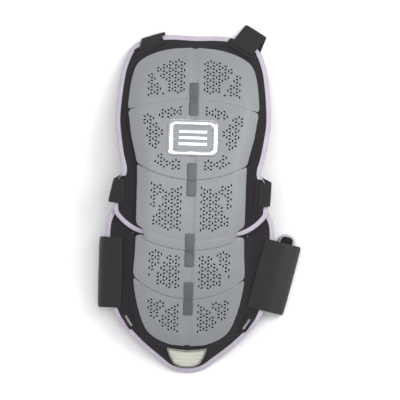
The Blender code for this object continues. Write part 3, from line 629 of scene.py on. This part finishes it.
def side_reach(edge):
    """Where an edge curve meets the shell's side, found by walking to and fro."""
    x = 0.8 * HALF_SHELL
    for _ in range(12):
        x = np.interp(-edge(x), -SHELL_SIDE[:, 1], SHELL_SIDE[:, 0])
    return x


def seam_edge(seam, plate, inward):
    """Half edge of a plate along a seam, from the spine out. Tucked edges reach on under the next plate."""
    tucked = SEAMS[seam][3] != plate
    shift = -inward * SEAM_GAP if tucked else 0.0
    reach = side_reach(lambda x: seam_y(seam, x) - shift)
    places = np.linspace(0.0, reach, 48)
    if not tucked:
        return np.column_stack((places, seam_y(seam, places)))
    hidden, shown = places[places < reach - TUCK_ROOM], places[places >= reach - TUCK_ROOM]
    return np.vstack((np.column_stack((hidden, seam_y(seam, hidden) + inward * SEAM_OVERLAP)),
                      np.column_stack((shown, seam_y(seam, shown) - inward * SEAM_GAP))))


def notch(points, level, inward):
    """The line with a small dip where it crosses the spine near a level."""
    near = np.abs(points[:, 1] - level) < 0.004
    dip = NOTCH_DEPTH * ramp((NOTCH_WIDTH / 2 - points[:, 0]) / NOTCH_SLOPE) * near
    return points + np.column_stack((0 * dip, inward * dip))


def plate_outline(plate):
    """Closed outline of a plate: its upper edge, the shell's side and its lower edge."""
    upper = seam_edge(plate - 2, plate, 1) if plate > 1 else SHELL_SIDE[:1]
    lower = seam_edge(plate - 1, plate, -1) if plate < 5 else SHELL_SIDE[-1:]
    if plate == 3:
        places = np.linspace(0.0, TONGUE_WIDTH / 2, 30)
        shoulder = (TONGUE_WIDTH / 2, shell_point(0.0, SHOULDER_FOOT)[1])
        lower = np.vstack((np.column_stack((places, seam_y(2, places))), shoulder,
                           shell_point(SHOULDER_WIDTH, SHOULDER_TOP)))
    if plate == 4:
        reach, top = shell_point(SHOULDER_WIDTH, PLATE_4_TOP)
        places = np.linspace(0.0, reach, 40)
        upper = np.column_stack((places, np.minimum(seam_y(2, places) + SEAM_OVERLAP, top)))
    side = SHELL_SIDE[(SHELL_SIDE[:, 1] < upper[-1, 1] - 0.002) & (SHELL_SIDE[:, 1] > lower[-1, 1] + 0.002)]
    half = round_corners(np.vstack((upper, side, lower[::-1])), CORNER_RADIUS)
    if plate == 1:
        half = notch(half, SHELL_NECK, -1)
    if plate == 5:
        half = notch(half, SHELL_NECK - SHELL_LENGTH, 1)
    return whole(half)


def lens(x, y, direction):
    """Clockwise slot with two points: half width w(1 - t2) along its axis."""
    t = np.array((1, 0.5, 0, -0.5, -1, -0.5, 0, 0.5))
    side = np.array((0, 1, 1, 1, 0, -1, -1, -1))
    u = np.array(direction) / np.hypot(*direction)
    v = np.array((u[1], -u[0]))
    along, aside = LENS_LENGTH / 2 * t, LENS_WIDTH / 2 * side * (1 - t ** 2)
    return np.array((x, y)) + along[:, None] * u + aside[:, None] * v


def plate_slots(plate):
    """Slots of a plate: one on each edge of a lattice of triangles, where its middle lies in a field."""
    middle = shell_point(0.0, LATTICE_START[plate - 1])[1]
    pitch = ROW_PITCH * math.cos(math.atan(abs(middle - CREST_Y) / ARCH_RADIUS))
    fields = [np.array([shell_point(*row) for row in rows]) for number, rows in SLOT_FIELDS
              if number == plate]
    column, row = np.meshgrid(np.arange(-1, int(HALF_SHELL / COLUMN_PITCH)), np.arange(-10, 10))
    x = FIRST_COLUMN + column.ravel() * COLUMN_PITCH
    y = middle + (row.ravel() + column.ravel() % 2 / 2) * pitch
    slots = []
    for across, along, direction in (
        (0.0, 0.0, (0.0, 1.0)),
        (COLUMN_PITCH / 2, 0.75 * pitch, (COLUMN_PITCH, pitch / 2)),
        (COLUMN_PITCH / 2, 0.25 * pitch, (COLUMN_PITCH, -pitch / 2)),
    ):
        at_x, at_y = x + across, y + along
        shown = np.max([depth_in(field, at_x, at_y) for field in fields], axis=0) > -0.0006
        for px, py in zip(at_x[shown], at_y[shown]):
            slots.append(lens(px, py, direction))
            slots.append(lens(-px, py, (-direction[0], direction[1])))
    return slots


def groove_lines(plate, outline):
    """Lines along the groove's walls and the crease, inside a plate's outline."""
    high, low = outline[:, 1].max(), outline[:, 1].min()
    lines = []
    for x in (-CHANNEL_TOP, -CHANNEL_FLOOR, CHANNEL_FLOOR, CHANNEL_TOP):
        y = np.arange(low, high, SPAN)
        inside = depth_in(outline, np.full(len(y), x), y) > 0.003
        lines.append(np.column_stack((np.full(inside.sum(), x), y[inside])))
    if plate == 3:
        x = np.arange(0.0100, 0.0655, SPAN / 2)
        for side in (-1, 1):
            for away in (-CREASE_WIDTH, 0.0, CREASE_WIDTH):
                lines.append(np.column_stack((side * x, crease_y(x) + away)))
    return lines


def add_shell(plastic, dark_plastic):
    """Five plates with their slots, and the four waisted clips over their seams."""
    for plate in range(1, 6):
        outline = plate_outline(plate)
        name = f"shell_plate_{plate}"
        piece = pressed(f"plate_{plate}", outline, lambda x, y: plate_top(plate, x, y),
                        lambda x, y: plate_bottom(plate, x, y), eased(0.0011, 0.36, 0.0004), plastic,
                        plate_slots(plate), LENS_EASE, groove_lines(plate, outline), room=0.0014)
        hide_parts(name)
    for seam, (share, _, _, over) in enumerate(SEAMS):
        place = shell_point(0.0, share)[1]
        under = seam + 1 if over == seam + 2 else seam + 2
        towards = 1 if under < over else -1

        def seat(x, y):
            past = ramp((towards * (y - place) - 0.0005) / 0.004)
            level = arch(x, y) + COVER_TOP + core(x, y) + PLATE_RISE - CHANNEL_DEPTH
            return level + (1 - past) * climb(over, y) + past * climb(under, y) + GAP

        def raised(x, y):
            waist = np.exp(-((y - place) / 0.004) ** 2)
            crown = 0.0004 * (1 - (x / CLIP_WIDTH * 2) ** 2)
            return seat(x, y) + CLIP_THICKNESS + crown - 0.0006 * waist

        outline = rounded_box((0.0, place), (CLIP_WIDTH, CLIP_LENGTH), 0.0022)
        waist = CLIP_WAIST * np.exp(-((outline[:, 1] - place) / 0.0035) ** 4)
        outline[:, 0] -= np.sign(outline[:, 0]) * waist * (np.abs(outline[:, 0]) > CLIP_WIDTH / 4)
        piece = pressed(f"clip_{seam + 1}", outline, raised, seat, eased(0.0008, 0.4), dark_plastic,
                        span=0.003)
        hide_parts(f"spine_clip_{seam + 1}")


def slot_place(name):
    """Middle, turn, length and width of a strap slot on the right side."""
    row = next(row for row in SLOTS if row[0] == name)
    place = panel_point(*row[1:3])
    if name == "hem":
        return place, row[3], HEM_SLOT_LENGTH, HEM_SLOT_WIDTH
    return place, row[3], STRAP_WIDTH + 2 * SLOT_CLEARANCE, STRAP_THICKNESS + 2 * SLOT_CLEARANCE


def slot_hole(name, side, grow=0.0):
    """Outline of a strap slot."""
    place, turn, length, width = slot_place(name)
    size = (length + 2 * grow, width + 2 * grow)
    return rounded_box(place * (side, 1), size, width * 0.4 + grow, side * turn, step=0.002)


def add_panels(foam, textile):
    """Foams with half round rims and their pressed covers, with the strap slots through them."""
    high = [slot_hole(name, side) for name in ("neck", "wing") for side in (-1, 1)]
    low = [slot_hole("hem", side) for side in (-1, 1)]
    rim = bullnose(0.0034)

    def puffed(cover, loop):
        """The cover's face, drawn down a little along its edge."""
        def face(x, y):
            near = np.clip(1 - depth_in(loop, x, y) / 0.005, 0.0, 1.0)
            return cover(x, y) - 0.0007 * near ** 2
        return face

    upper_rim, lower_rim = inset(UPPER_LOOP, RIM_WIDTH), inset(LOWER_LOOP, RIM_WIDTH)
    pieces = (
        ("upper_foam", UPPER_LOOP, lambda x, y: arch(x, y) + FOAM_THICKNESS + core(x, y), arch, rim, foam,
         "foam", high),
        ("lower_foam", LOWER_LOOP, lower_foam_top, lambda x, y: arch(x, y) - LAYER_STEP, rim, foam, "foam",
         low),
        ("upper_cover", upper_rim, puffed(upper_cover_top, upper_rim),
         lambda x, y: arch(x, y) + FOAM_THICKNESS + core(x, y) + GAP / 2, eased(0.0012, 0.7), textile,
         "textile", high),
        ("lower_cover", lower_rim, puffed(lower_cover_top, lower_rim),
         lambda x, y: lower_foam_top(x, y) + GAP / 2, eased(0.0012, 0.7), textile, "textile", low),
    )
    made = {}
    for name, loop, top, bottom, edge, finish, slot, holes in pieces:
        made[name] = pressed(name.replace("_", "_panel_"), loop, top, bottom, edge, finish, holes,
                             span=PANEL_SPAN)
        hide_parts(name)
    return made


def closed(loop):
    """The loop as an open line that ends where it starts."""
    return np.vstack((loop, loop[:1]))


def add_slot_frames(textile):
    """Raised reinforcement round each strap slot."""
    for name, *_ in SLOTS:
        place, turn, length, width = slot_place(name)
        seat = lower_cover_top if name == "hem" else upper_cover_top
        for side, label in ((-1, "left"), (1, "right")):
            size = (length + 2 * FRAME_MARGIN, width + 2 * FRAME_MARGIN)
            outer = rounded_box(place * (side, 1), size, FRAME_MARGIN, side * turn)
            piece = pressed(f"frame_{name}_{label}", outer, lambda x, y: seat(x, y) + GAP + FRAME_THICKNESS,
                            lambda x, y: seat(x, y) + GAP, eased(0.0013, 0.8), textile,
                            [slot_hole(name, side)], 0.0004, span=0.003)
            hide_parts(f"slot_frame_{name}_{label}")


def add_badge(silver, inner_plate):
    """Silver frame with bevelled sides, a plain insert and three equal bars."""
    place = shell_point(0.0, BADGE_PLACE)
    size = np.array((BADGE_WIDTH, BADGE_HEIGHT))
    outer = rounded_box(place, size, BADGE_RADIUS, arc=10)
    hole = rounded_box(place, size - 2 * BADGE_BAND, BADGE_RADIUS * 0.45, arc=8)

    def seat(x, y):
        return arch(x, y) + COVER_TOP + core(x, y) + PLATE_RISE + PLATE_STEP + GAP

    def band(x, y):
        aside = np.minimum(depth_in(outer, x, y), -depth_in(hole, x, y))
        return seat(x, y) + BADGE_THICKNESS * (0.45 + 0.55 * ramp(aside / BEVEL_WIDTH) ** 0.8)

    lines = [closed(rounded_box(place, size - 2 * gone, BADGE_RADIUS - gone * 0.6, arc=10))
             for gone in (BEVEL_WIDTH, BADGE_BAND - BEVEL_WIDTH)]
    frame_piece = pressed("badge_ring", outer, band, seat, eased(0.0006, 0.3), silver, [hole],
                          0.0003, lines, span=0.0024)
    insert = pressed("badge_plate", rounded_box(place, size - 2 * BADGE_BAND - 2 * GAP, BADGE_RADIUS * 0.43),
                     lambda x, y: seat(x, y) + INSERT_THICKNESS, seat, eased(0.0003, 0.3), inner_plate,
                     span=0.004)
    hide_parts("badge_frame")
    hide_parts("badge_insert")
    for bar in (-1, 0, 1):
        middle = place + (0.0, bar * BAR_PITCH)
        outline = rounded_box(middle, (BAR_LENGTH, BAR_WIDTH), BAR_CORNER)
        piece = pressed(f"badge_rib_{bar + 2}", outline,
                        lambda x, y: seat(x, y) + INSERT_THICKNESS + GAP / 2 + BAR_THICKNESS,
                        lambda x, y: seat(x, y) + INSERT_THICKNESS + GAP / 2, eased(0.0008, 0.7), silver,
                        span=0.002)
        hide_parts(f"badge_bar_{bar + 2}")


def add_tail_pad(rubber):
    """Ribbed pad inside a rounded rim. The grooves between the ribs bend up at their ends."""
    half = round_corners([panel_point(*row) for row in TAIL_PAD], 0.004, math.radians(20), 0.0012)
    outline = whole(half)
    inner = inset(outline, PAD_RIM)
    high, low = half[0, 1], half[-1, 1]
    seat_rise = GAP

    def groove_y(share, x):
        return high + (low - high) * share + 3.4 * x ** 2

    def face(x, y):
        deep = depth_in(outline, x, y)
        rim = 0.0007 * np.exp(-((deep - PAD_RIM * 0.55) / 0.0011) ** 2)
        sunk = 0.0009 * ramp((deep - PAD_RIM) / 0.0008)
        cut = sum(np.clip(1 - np.abs(y - groove_y(share, x)) / 0.0009, 0.0, 1.0) for share in PAD_GROOVES)
        rise = PAD_THICKNESS - 0.0007 + rim - sunk + 0.0006 * ramp((deep - PAD_RIM - 0.001) / 0.003)
        return lower_cover_top(x, y) + seat_rise + rise - 0.0009 * cut * (deep > PAD_RIM)

    lines = [closed(inner), closed(inset(outline, PAD_RIM + 0.0008))]
    for share in PAD_GROOVES:
        x = np.linspace(-0.03, 0.03, 60)
        for away in (-0.0009, 0.0, 0.0009):
            line = np.column_stack((x, groove_y(share, x) + away))
            lines.append(line[depth_in(outline, *line.T) > PAD_RIM + 0.0012])
    piece = pressed("tail_ribs", outline, face, lambda x, y: lower_cover_top(x, y) + seat_rise,
                    eased(0.0014, 0.5), rubber, lines=lines, span=0.0016, room=0.0006)
    places = np.array([v.co[:2] for v in piece.data.vertices])
    inside = ramp((depth_in(outline, *places.T) - PAD_RIM + 0.0003) / 0.0006)
    piece.data.attributes.new("inner", "FLOAT", "POINT").data.foreach_set("value", inside.astype(np.float32))
    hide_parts("tail_pad")


def folded(rows, radii, step=0.003, arc=9):
    """Band's middle surface: rows of points across it, joined by straight stretches, with a quadratic curve
    of the given reach in place of each corner. The rows come back at even steps along the band."""
    rows = np.array(rows)
    middle = rows[:, rows.shape[1] // 2]
    lines = [rows[:1]]
    t = np.linspace(0.0, 1.0, arc)[:, None, None]
    for index, radius in enumerate(radii[1:-1], 1):
        before, here, after = rows[index - 1:index + 2]
        cut_in = min(radius / np.linalg.norm(middle[index] - middle[index - 1]), 0.48)
        cut_out = min(radius / np.linalg.norm(middle[index + 1] - middle[index]), 0.48)
        start, end = here + (before - here) * cut_in, here + (after - here) * cut_out
        lines.append((1 - t) ** 2 * start + 2 * t * (1 - t) * here + t ** 2 * end)
    lines.append(rows[-1:])
    dense = np.vstack(lines)
    spread = dense.reshape(len(dense), -1)
    along = lengths_along(dense[:, rows.shape[1] // 2])
    keep = np.concatenate(((True,), np.diff(along) > 1e-6))
    along, spread = along[keep], spread[keep]
    turns = np.unique(np.concatenate((along, np.arange(0.0, along[-1], step))))
    turns = turns[np.concatenate(((True,), np.diff(turns) > 0.0004))]
    even = np.column_stack([np.interp(turns, along, column) for column in spread.T])
    return even.reshape(len(turns), -1, 3), turns


def webbing(name, surface, along, thickness, finish):
    """Woven band: its middle surface moved both ways along its normals by half the thickness, which falls
    to nothing at the two selvedges as (1 - s6)^(1/2). Its UV map is in metres."""
    count, across = surface.shape[:2]
    normal = np.cross(np.gradient(surface, axis=0), np.gradient(surface, axis=1))
    normal /= np.linalg.norm(normal, axis=2, keepdims=True)
    half = thickness / 2 * np.sqrt(1 - np.abs(ACROSS) ** 6)[None, :, None]
    over, under = surface + half * normal, surface - half * normal
    ring = np.concatenate((over, under[:, -2:0:-1]), axis=1)
    size = ring.shape[1]
    number = np.arange(count * size).reshape(count, size)
    ahead = np.roll(number, -1, axis=1)
    faces = np.stack((number[:-1], number[1:], ahead[1:], ahead[:-1]), axis=-1).reshape(-1, 4)
    ends = []
    for row, turn in ((0, 1), (count - 1, -1)):
        for a in range(across - 1):
            back = (-a) % size
            face = [number[row, a], number[row, a + 1], number[row, (size - a - 1)], number[row, back]]
            face = list(dict.fromkeys(int(v) for v in face))
            ends.append(face[::turn])
    piece = new_piece(name, ring.reshape(-1, 3), faces.tolist() + ends, finish)
    solid = bmesh.new()
    solid.from_mesh(piece.data)
    bmesh.ops.recalc_face_normals(solid, faces=solid.faces[:])
    solid.to_mesh(piece.data)
    solid.free()
    width = np.linalg.norm(surface[0, -1] - surface[0, 0]) / 2
    s = np.concatenate((ACROSS, ACROSS[-2:0:-1])) * width
    u, v = np.meshgrid(s, along)
    chart = np.column_stack((u.ravel(), v.ravel()))
    corner = np.zeros(len(piece.data.loops), np.int32)
    piece.data.loops.foreach_get("vertex_index", corner)
    layer = piece.data.uv_layers.new(name="weave")
    layer.data.foreach_set("uv", chart[corner].ravel().astype(np.float32))
    return piece


def add_shoulder_straps(elastic):
    """Each strap leaves the wing slot, folds under, crosses the floor and comes back over the neck edge."""
    half_thick = STRAP_THICKNESS / 2
    over = GAP + FRAME_THICKNESS + half_thick + GAP
    across = ACROSS * STRAP_WIDTH / 2

    for label, side, wing_fold, neck_fold in STRAP_FOLDS:
        wing, wing_turn, *_ = slot_place("wing")
        neck, neck_turn, *_ = slot_place("neck")

        def row(place, degrees, level):
            turn = math.radians(degrees)
            x = place[0] + across * math.cos(turn)
            y = place[1] + across * math.sin(turn)
            return np.column_stack((side * x, y, level(x, y)))

        def on_cover(x, y):
            return upper_cover_top(x, y) + over

        def in_slot(x, y):
            return arch(x, y) - GAP

        def below(x, y):
            return arch(x, y) - 0.0014 - half_thick

        def on_floor(x, y):
            return 0.0 * x + half_thick

        def neck_top(x, y):
            return np.maximum(on_cover(x, y), FOLD_HEIGHT)

        wing_edge, neck_edge = panel_point(*wing_fold[:2]), panel_point(*neck_fold[:2])
        rows = (
            row(wing, wing_turn, in_slot),
            row(wing, wing_turn, on_cover),
            row(wing_edge, wing_fold[2], on_cover),
            row(wing_edge, wing_fold[2], below),
            *(row(panel_point(*place[:2]), place[2], on_floor) for place in STRAP_FLOOR),
            row(neck_edge, neck_fold[2], on_floor),
            row(neck_edge, neck_fold[2], neck_top),
            row(neck, neck_turn, on_cover),
            row(neck, neck_turn, in_slot),
        )
        surface, along = folded(rows, STRAP_RADII)
        name = f"shoulder_strap_{label}"
        piece = webbing(f"webbing_{label}", surface, along, STRAP_THICKNESS, elastic)
        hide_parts(name)


def add_waist_belt(elastic, foam, textile):
    """Two halves sewn on the lower cover, folded under the panel and closed on each other on the floor."""
    half_thick = BELT_THICKNESS / 2
    across = ACROSS * BELT_WIDTH / 2
    on_panel = HALF_PANEL - BELT_SEAM + BELT_EDGE_ROOM

    for label, side, degrees, offset, overhang, lift in BELT_HALVES:
        turn = math.radians(degrees)
        out, wide = np.array((math.cos(turn), math.sin(turn))), np.array((-math.sin(turn), math.cos(turn)))
        seam = np.array((BELT_SEAM, offset))

        def row(distance, share, floor=half_thick):
            place = seam + distance * out + across[:, None] * wide
            top = lower_cover_top(*place.T) + GAP + half_thick
            return np.column_stack((side * place[:, 0], place[:, 1], share * top + (1 - share) * floor))

        reach = on_panel + overhang
        rows = [row(0.0, 1.0), row(on_panel / 2, 1.0), row(on_panel, 1.0), row(reach, lift), row(reach, 0.0)]
        radii = list(BELT_RADII)
        stacked = half_thick
        if label == "right":
            stacked += BELT_THICKNESS + GAP
            end = BELT_OVERLAP / 2 - BELT_SEAM
            rows += [row(end + 2 * BELT_STEP_RUN, 0.0), row(end + BELT_STEP_RUN, 0.0, stacked)]
            radii += BELT_STEP_RADII
        rows.append(row(-BELT_SEAM - BELT_OVERLAP / 2, 0.0, stacked))
        radii.append(0)
        surface, along = folded(rows, radii)
        piece = webbing(f"belt_{label}", surface, along, BELT_THICKNESS, elastic)
        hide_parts(f"waist_belt_{label}")

    turn = math.radians(BELT_HALVES[1][2])
    out, wide = np.array((math.cos(turn), math.sin(turn))), np.array((-math.sin(turn), math.cos(turn)))
    place = (np.array((BELT_SEAM, BELT_HALVES[1][3])) + END_PAD_REACH * out
             + (END_PAD_TOP - END_PAD_LENGTH / 2) * wide)
    low = BELT_THICKNESS + GAP
    high = low + END_PAD_THICKNESS
    size = np.array((END_PAD_WIDTH, END_PAD_LENGTH))
    pad = pressed("belt_pad", rounded_box(place, size, END_PAD_RADIUS, BELT_HALVES[1][2]),
                  lambda x, y: high + 0.0 * x, lambda x, y: low + 0.0 * x, bullnose(END_PAD_THICKNESS / 2),
                  foam)
    cover = pressed("belt_pad_cover", rounded_box(place, size - 2 * END_PAD_RIM, END_PAD_RADIUS - END_PAD_RIM,
                                                  BELT_HALVES[1][2]),
                    lambda x, y: high + GAP + COVER_THICKNESS + 0.0 * x, lambda x, y: high + GAP + 0.0 * x,
                    eased(0.001, 0.7), textile)
    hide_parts("belt_end_pad")
    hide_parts("belt_end_cover")


class Value:
    """A number in a material's node tree. Sums of these add their Math nodes."""

    def __init__(self, tree, socket):
        self.tree = tree
        self.socket = socket

    def sum_with(self, operation, *numbers):
        node = self.tree.nodes.new("ShaderNodeMath")
        node.operation = operation
        for slot_number, number in enumerate(numbers):
            if isinstance(number, Value):
                self.tree.links.new(number.socket, node.inputs[slot_number])
            else:
                node.inputs[slot_number].default_value = number
        return Value(self.tree, node.outputs[0])

    def __add__(self, other):
        return self.sum_with("ADD", self, other)

    def __radd__(self, other):
        return self.sum_with("ADD", other, self)

    def __sub__(self, other):
        return self.sum_with("SUBTRACT", self, other)

    def __rsub__(self, other):
        return self.sum_with("SUBTRACT", other, self)

    def __mul__(self, other):
        return self.sum_with("MULTIPLY", self, other)

    def __rmul__(self, other):
        return self.sum_with("MULTIPLY", other, self)

    def wave(self):
        """Sine of the value."""
        return self.sum_with("SINE", self)

    def above(self, edge, softness):
        """0 below an edge, 1 past it, with a soft step between."""
        node = self.tree.nodes.new("ShaderNodeMapRange")
        node.interpolation_type = "SMOOTHSTEP"
        self.tree.links.new(self.socket, node.inputs["Value"])
        node.inputs["From Min"].default_value = edge - softness
        node.inputs["From Max"].default_value = edge + softness
        return Value(self.tree, node.outputs["Result"])


class Finish:
    """A Principled material under construction."""

    def __init__(self, name, color, roughness, **constants):
        self.material = bpy.data.materials.new(name)
        self.material.use_nodes = True
        self.tree = self.material.node_tree
        self.shader = self.tree.nodes["Principled BSDF"]
        self.shader.inputs["Base Color"].default_value = (*color, 1.0)
        self.shader.inputs["Roughness"].default_value = roughness
        for socket, value in constants.items():
            self.shader.inputs[socket.replace("_", " ")].default_value = value

    def node(self, kind, output, settings=None, **inputs):
        """One node: its settings first, then its sockets' values or links. Returns the named output."""
        made = self.tree.nodes.new(kind)
        for key, value in (settings or {}).items():
            setattr(made, key, value)
        for key, value in inputs.items():
            socket = made.inputs[key.replace("_", " ")]
            if isinstance(value, Value):
                self.tree.links.new(value.socket, socket)
            else:
                socket.default_value = value
        return Value(self.tree, made.outputs[output])

    def place(self):
        """Place on the object, in metres."""
        return self.node("ShaderNodeTexCoord", "Object")

    def weave_place(self):
        """Place on a band, in metres across and along it."""
        return self.node("ShaderNodeUVMap", "UV", {"uv_map": "weave"})

    def parts(self, vector):
        """The three numbers of a vector."""
        made = self.tree.nodes.new("ShaderNodeSeparateXYZ")
        self.tree.links.new(vector.socket, made.inputs[0])
        return [Value(self.tree, output) for output in made.outputs]

    def noise(self, vector, scale, detail=3.0, roughness=0.5):
        """Soft noise from 0 to 1."""
        return self.node("ShaderNodeTexNoise", "Fac", Vector=vector, Scale=scale, Detail=detail,
                         Roughness=roughness)

    def mix(self, factor, first, second):
        """Colour between two colours."""
        made = self.tree.nodes.new("ShaderNodeMix")
        made.data_type = "RGBA"
        for socket, value in ((made.inputs[0], factor), (made.inputs[6], first), (made.inputs[7], second)):
            if isinstance(value, Value):
                self.tree.links.new(value.socket, socket)
            else:
                socket.default_value = value if isinstance(value, float) else (*value, 1.0)
        return Value(self.tree, made.outputs[2])

    def feed(self, socket, value):
        """Link a value to one of the shader's sockets."""
        self.tree.links.new(value.socket, self.shader.inputs[socket])

    def relief(self, *layers):
        """Bump from (height, distance in metres, strength) layers, one over the other."""
        normal = None
        for height, distance, strength in layers:
            inputs = {"Height": height, "Distance": distance, "Strength": strength}
            if normal is not None:
                inputs["Normal"] = normal
            normal = self.node("ShaderNodeBump", "Normal", **inputs)
        self.feed("Normal", normal)


def srgb(red, green, blue):
    """Linear colour from the 0 to 255 values that a picture shows."""
    shown = np.array((red, green, blue)) / 255
    return tuple(np.where(shown <= 0.04045, shown / 12.92, ((shown + 0.055) / 1.055) ** 2.4).tolist())


def moulded_plastic(name, color, roughness, grain):
    """Satin moulded plastic: fine spark-eroded grain, faint cloudiness and a few rubbed patches."""
    made = Finish(name, color, roughness, Specular_IOR_Level=0.42)
    place = made.place()
    cloud = made.noise(place, 22.0, 4.0)
    rubbed = made.noise(place, 60.0, 5.0, 0.6).above(0.62, 0.08)
    darker, lighter = tuple(c * 0.93 for c in color), tuple(c * 1.06 for c in color)
    made.feed("Base Color", made.mix(cloud, darker, lighter))
    made.feed("Roughness", roughness + 0.05 * cloud - 0.06 * rubbed)
    fine = made.noise(place, 2600.0, 2.0)
    wavy = made.noise(place, 45.0, 2.0)
    made.relief((wavy, 0.0006, 0.25), (fine, 0.00004, grain))
    return made.material


def foam_skin():
    """Pale lilac closed-cell foam with fine pores and a slightly grubby tone in places."""
    color = srgb(184, 174, 190)
    made = Finish("lilac_foam", color, 0.82, Subsurface_Weight=0.08, Subsurface_Scale=0.002)
    place = made.place()
    pores = made.node("ShaderNodeTexVoronoi", "Distance", Vector=place, Scale=1500.0)
    tone = made.noise(place, 35.0, 4.0)
    made.feed("Base Color", made.mix(tone, srgb(172, 162, 178), srgb(198, 190, 204)))
    made.feed("Roughness", 0.78 + 0.1 * tone)
    made.relief((made.noise(place, 160.0, 3.0), 0.0004, 0.35), (pores, 0.00008, 0.5))
    return made.material


def knitted_textile():
    """Black knitted cover: rows of small loops with a soft sheen, and faint pressed unevenness."""
    made = Finish("black_knit", srgb(34, 31, 34), 0.88, Sheen_Weight=0.18, Sheen_Roughness=0.5,
                  Specular_IOR_Level=0.25)
    place = made.place()
    x, y, _ = made.parts(place)
    loops = (x * KNIT_RATE).wave() * (y * KNIT_RATE * 0.8).wave()
    uneven = made.noise(place, 28.0, 4.0)
    fuzz = made.noise(place, 900.0, 3.0)
    made.feed("Base Color", made.mix(uneven * 0.6 + fuzz * 0.4, srgb(24, 22, 24), srgb(44, 41, 44)))
    made.feed("Roughness", 0.8 + 0.15 * uneven)
    made.relief((uneven, 0.0012, 0.3), (loops * 0.5 + 0.5, 0.00018, 0.6))
    return made.material


def woven_elastic(name, dark, light, rate):
    """Woven elastic band: fine ribs across and twill along."""
    made = Finish(name, dark, 0.8, Sheen_Weight=0.15, Sheen_Roughness=0.5, Specular_IOR_Level=0.3)
    u, v, _ = made.parts(made.weave_place())
    ribs = (v * rate).wave()
    threads = (u * rate * 1.6 + ribs * 0.8).wave()
    worn = made.noise(made.place(), 40.0, 4.0)
    shade = ribs * 0.2 + threads * 0.15 + worn * 0.5 + 0.1
    made.feed("Base Color", made.mix(shade, dark, light))
    made.feed("Roughness", 0.74 + 0.14 * worn)
    made.relief((worn, 0.0008, 0.25), (ribs * 0.5 + threads * 0.35, 0.00022, 0.7))
    return made.material


def bright_silver():
    """Bright plated frame with a faint brushed haze."""
    made = Finish("bright_silver", srgb(232, 233, 235), 0.16, Metallic=1.0)
    place = made.place()
    haze = made.noise(place, 70.0, 4.0)
    made.feed("Roughness", 0.12 + 0.14 * haze)
    made.relief((made.noise(place, 320.0, 2.0), 0.00006, 0.3))
    return made.material


def ribbed_rubber():
    """Warm grey rubber with pale ribs inside a darker rim."""
    made = Finish("warm_rubber", srgb(168, 168, 156), 0.55)
    inside = made.node("ShaderNodeAttribute", "Fac", {"attribute_name": "inner"})
    tone = made.noise(made.place(), 50.0, 4.0)
    ribs = made.mix(tone, srgb(188, 188, 176), srgb(208, 208, 197))
    made.feed("Base Color", made.mix(inside, srgb(128, 128, 120), ribs))
    made.feed("Roughness", 0.5 + 0.15 * tone)
    made.relief((made.noise(made.place(), 1800.0, 2.0), 0.00005, 0.4))
    return made.material


def add_stage():
    """White floor, soft lights from the right and the neck end, and the camera straight above."""
    size = 6.0
    mesh = bpy.data.meshes.new("floor")
    corners = [(x * size, y * size, 0.0) for x, y in ((-1, -1), (1, -1), (1, 1), (-1, 1))]
    mesh.from_pydata(corners, [], [(0, 1, 2, 3)])
    white = Finish("white_floor", (0.92, 0.92, 0.92), 0.9)
    mesh.materials.append(white.material)
    floor = bpy.data.objects.new("floor", mesh)
    bpy.context.scene.collection.objects.link(floor)

    for name, place, extent, power, color in LIGHTS:
        lamp = bpy.data.lights.new(name, "AREA")
        lamp.size = extent
        lamp.energy = power
        lamp.color = color
        holder = bpy.data.objects.new(name, lamp)
        holder.location = place
        aim = Vector((0.0, 0.1, 0.0)) - Vector(place)
        holder.rotation_euler = aim.to_track_quat("-Z", "Y").to_euler()
        bpy.context.scene.collection.objects.link(holder)

    world = bpy.data.worlds.new("room")
    world.use_nodes = True
    world.node_tree.nodes["Background"].inputs["Color"].default_value = (0.93, 0.94, 0.96, 1.0)
    world.node_tree.nodes["Background"].inputs["Strength"].default_value = WORLD_STRENGTH
    bpy.context.scene.world = world
    bpy.context.scene.view_settings.view_transform = "Standard"

    lens_data = bpy.data.cameras.new("camera")
    lens_data.sensor_width = 36.0
    lens_data.lens = 36.0 * (CAMERA_PLACE[2] - VIEW_LEVEL) / VIEW_WIDTH
    lens_data.clip_end = 50.0
    camera = bpy.data.objects.new("camera", lens_data)
    camera.location = CAMERA_PLACE
    camera.rotation_euler = (0.0, 0.0, math.radians(CAMERA_TURN))
    bpy.context.scene.collection.objects.link(camera)
    bpy.context.scene.camera = camera


def main():
    foam = foam_skin()
    textile = knitted_textile()
    elastic = woven_elastic("strap_elastic", srgb(26, 25, 25), srgb(52, 51, 50), STRAP_RIB_RATE)
    belt_elastic = woven_elastic("belt_elastic", srgb(28, 28, 27), srgb(54, 53, 51), BELT_RIB_RATE)
    plastic = moulded_plastic("grey_plastic", srgb(137, 139, 141), 0.42, 0.35)
    dark_plastic = moulded_plastic("dark_plastic", srgb(88, 90, 93), 0.4, 0.3)
    badge_grey = moulded_plastic("badge_grey", srgb(140, 143, 146), 0.35, 0.2)
    silver = bright_silver()
    panels = add_panels(foam, textile)
    add_shell(plastic, dark_plastic)
    add_badge(silver, badge_grey)
    add_tail_pad(ribbed_rubber())
    add_slot_frames(textile)
    add_shoulder_straps(elastic)
    add_waist_belt(belt_elastic, foam, textile)
    add_stage()


main()
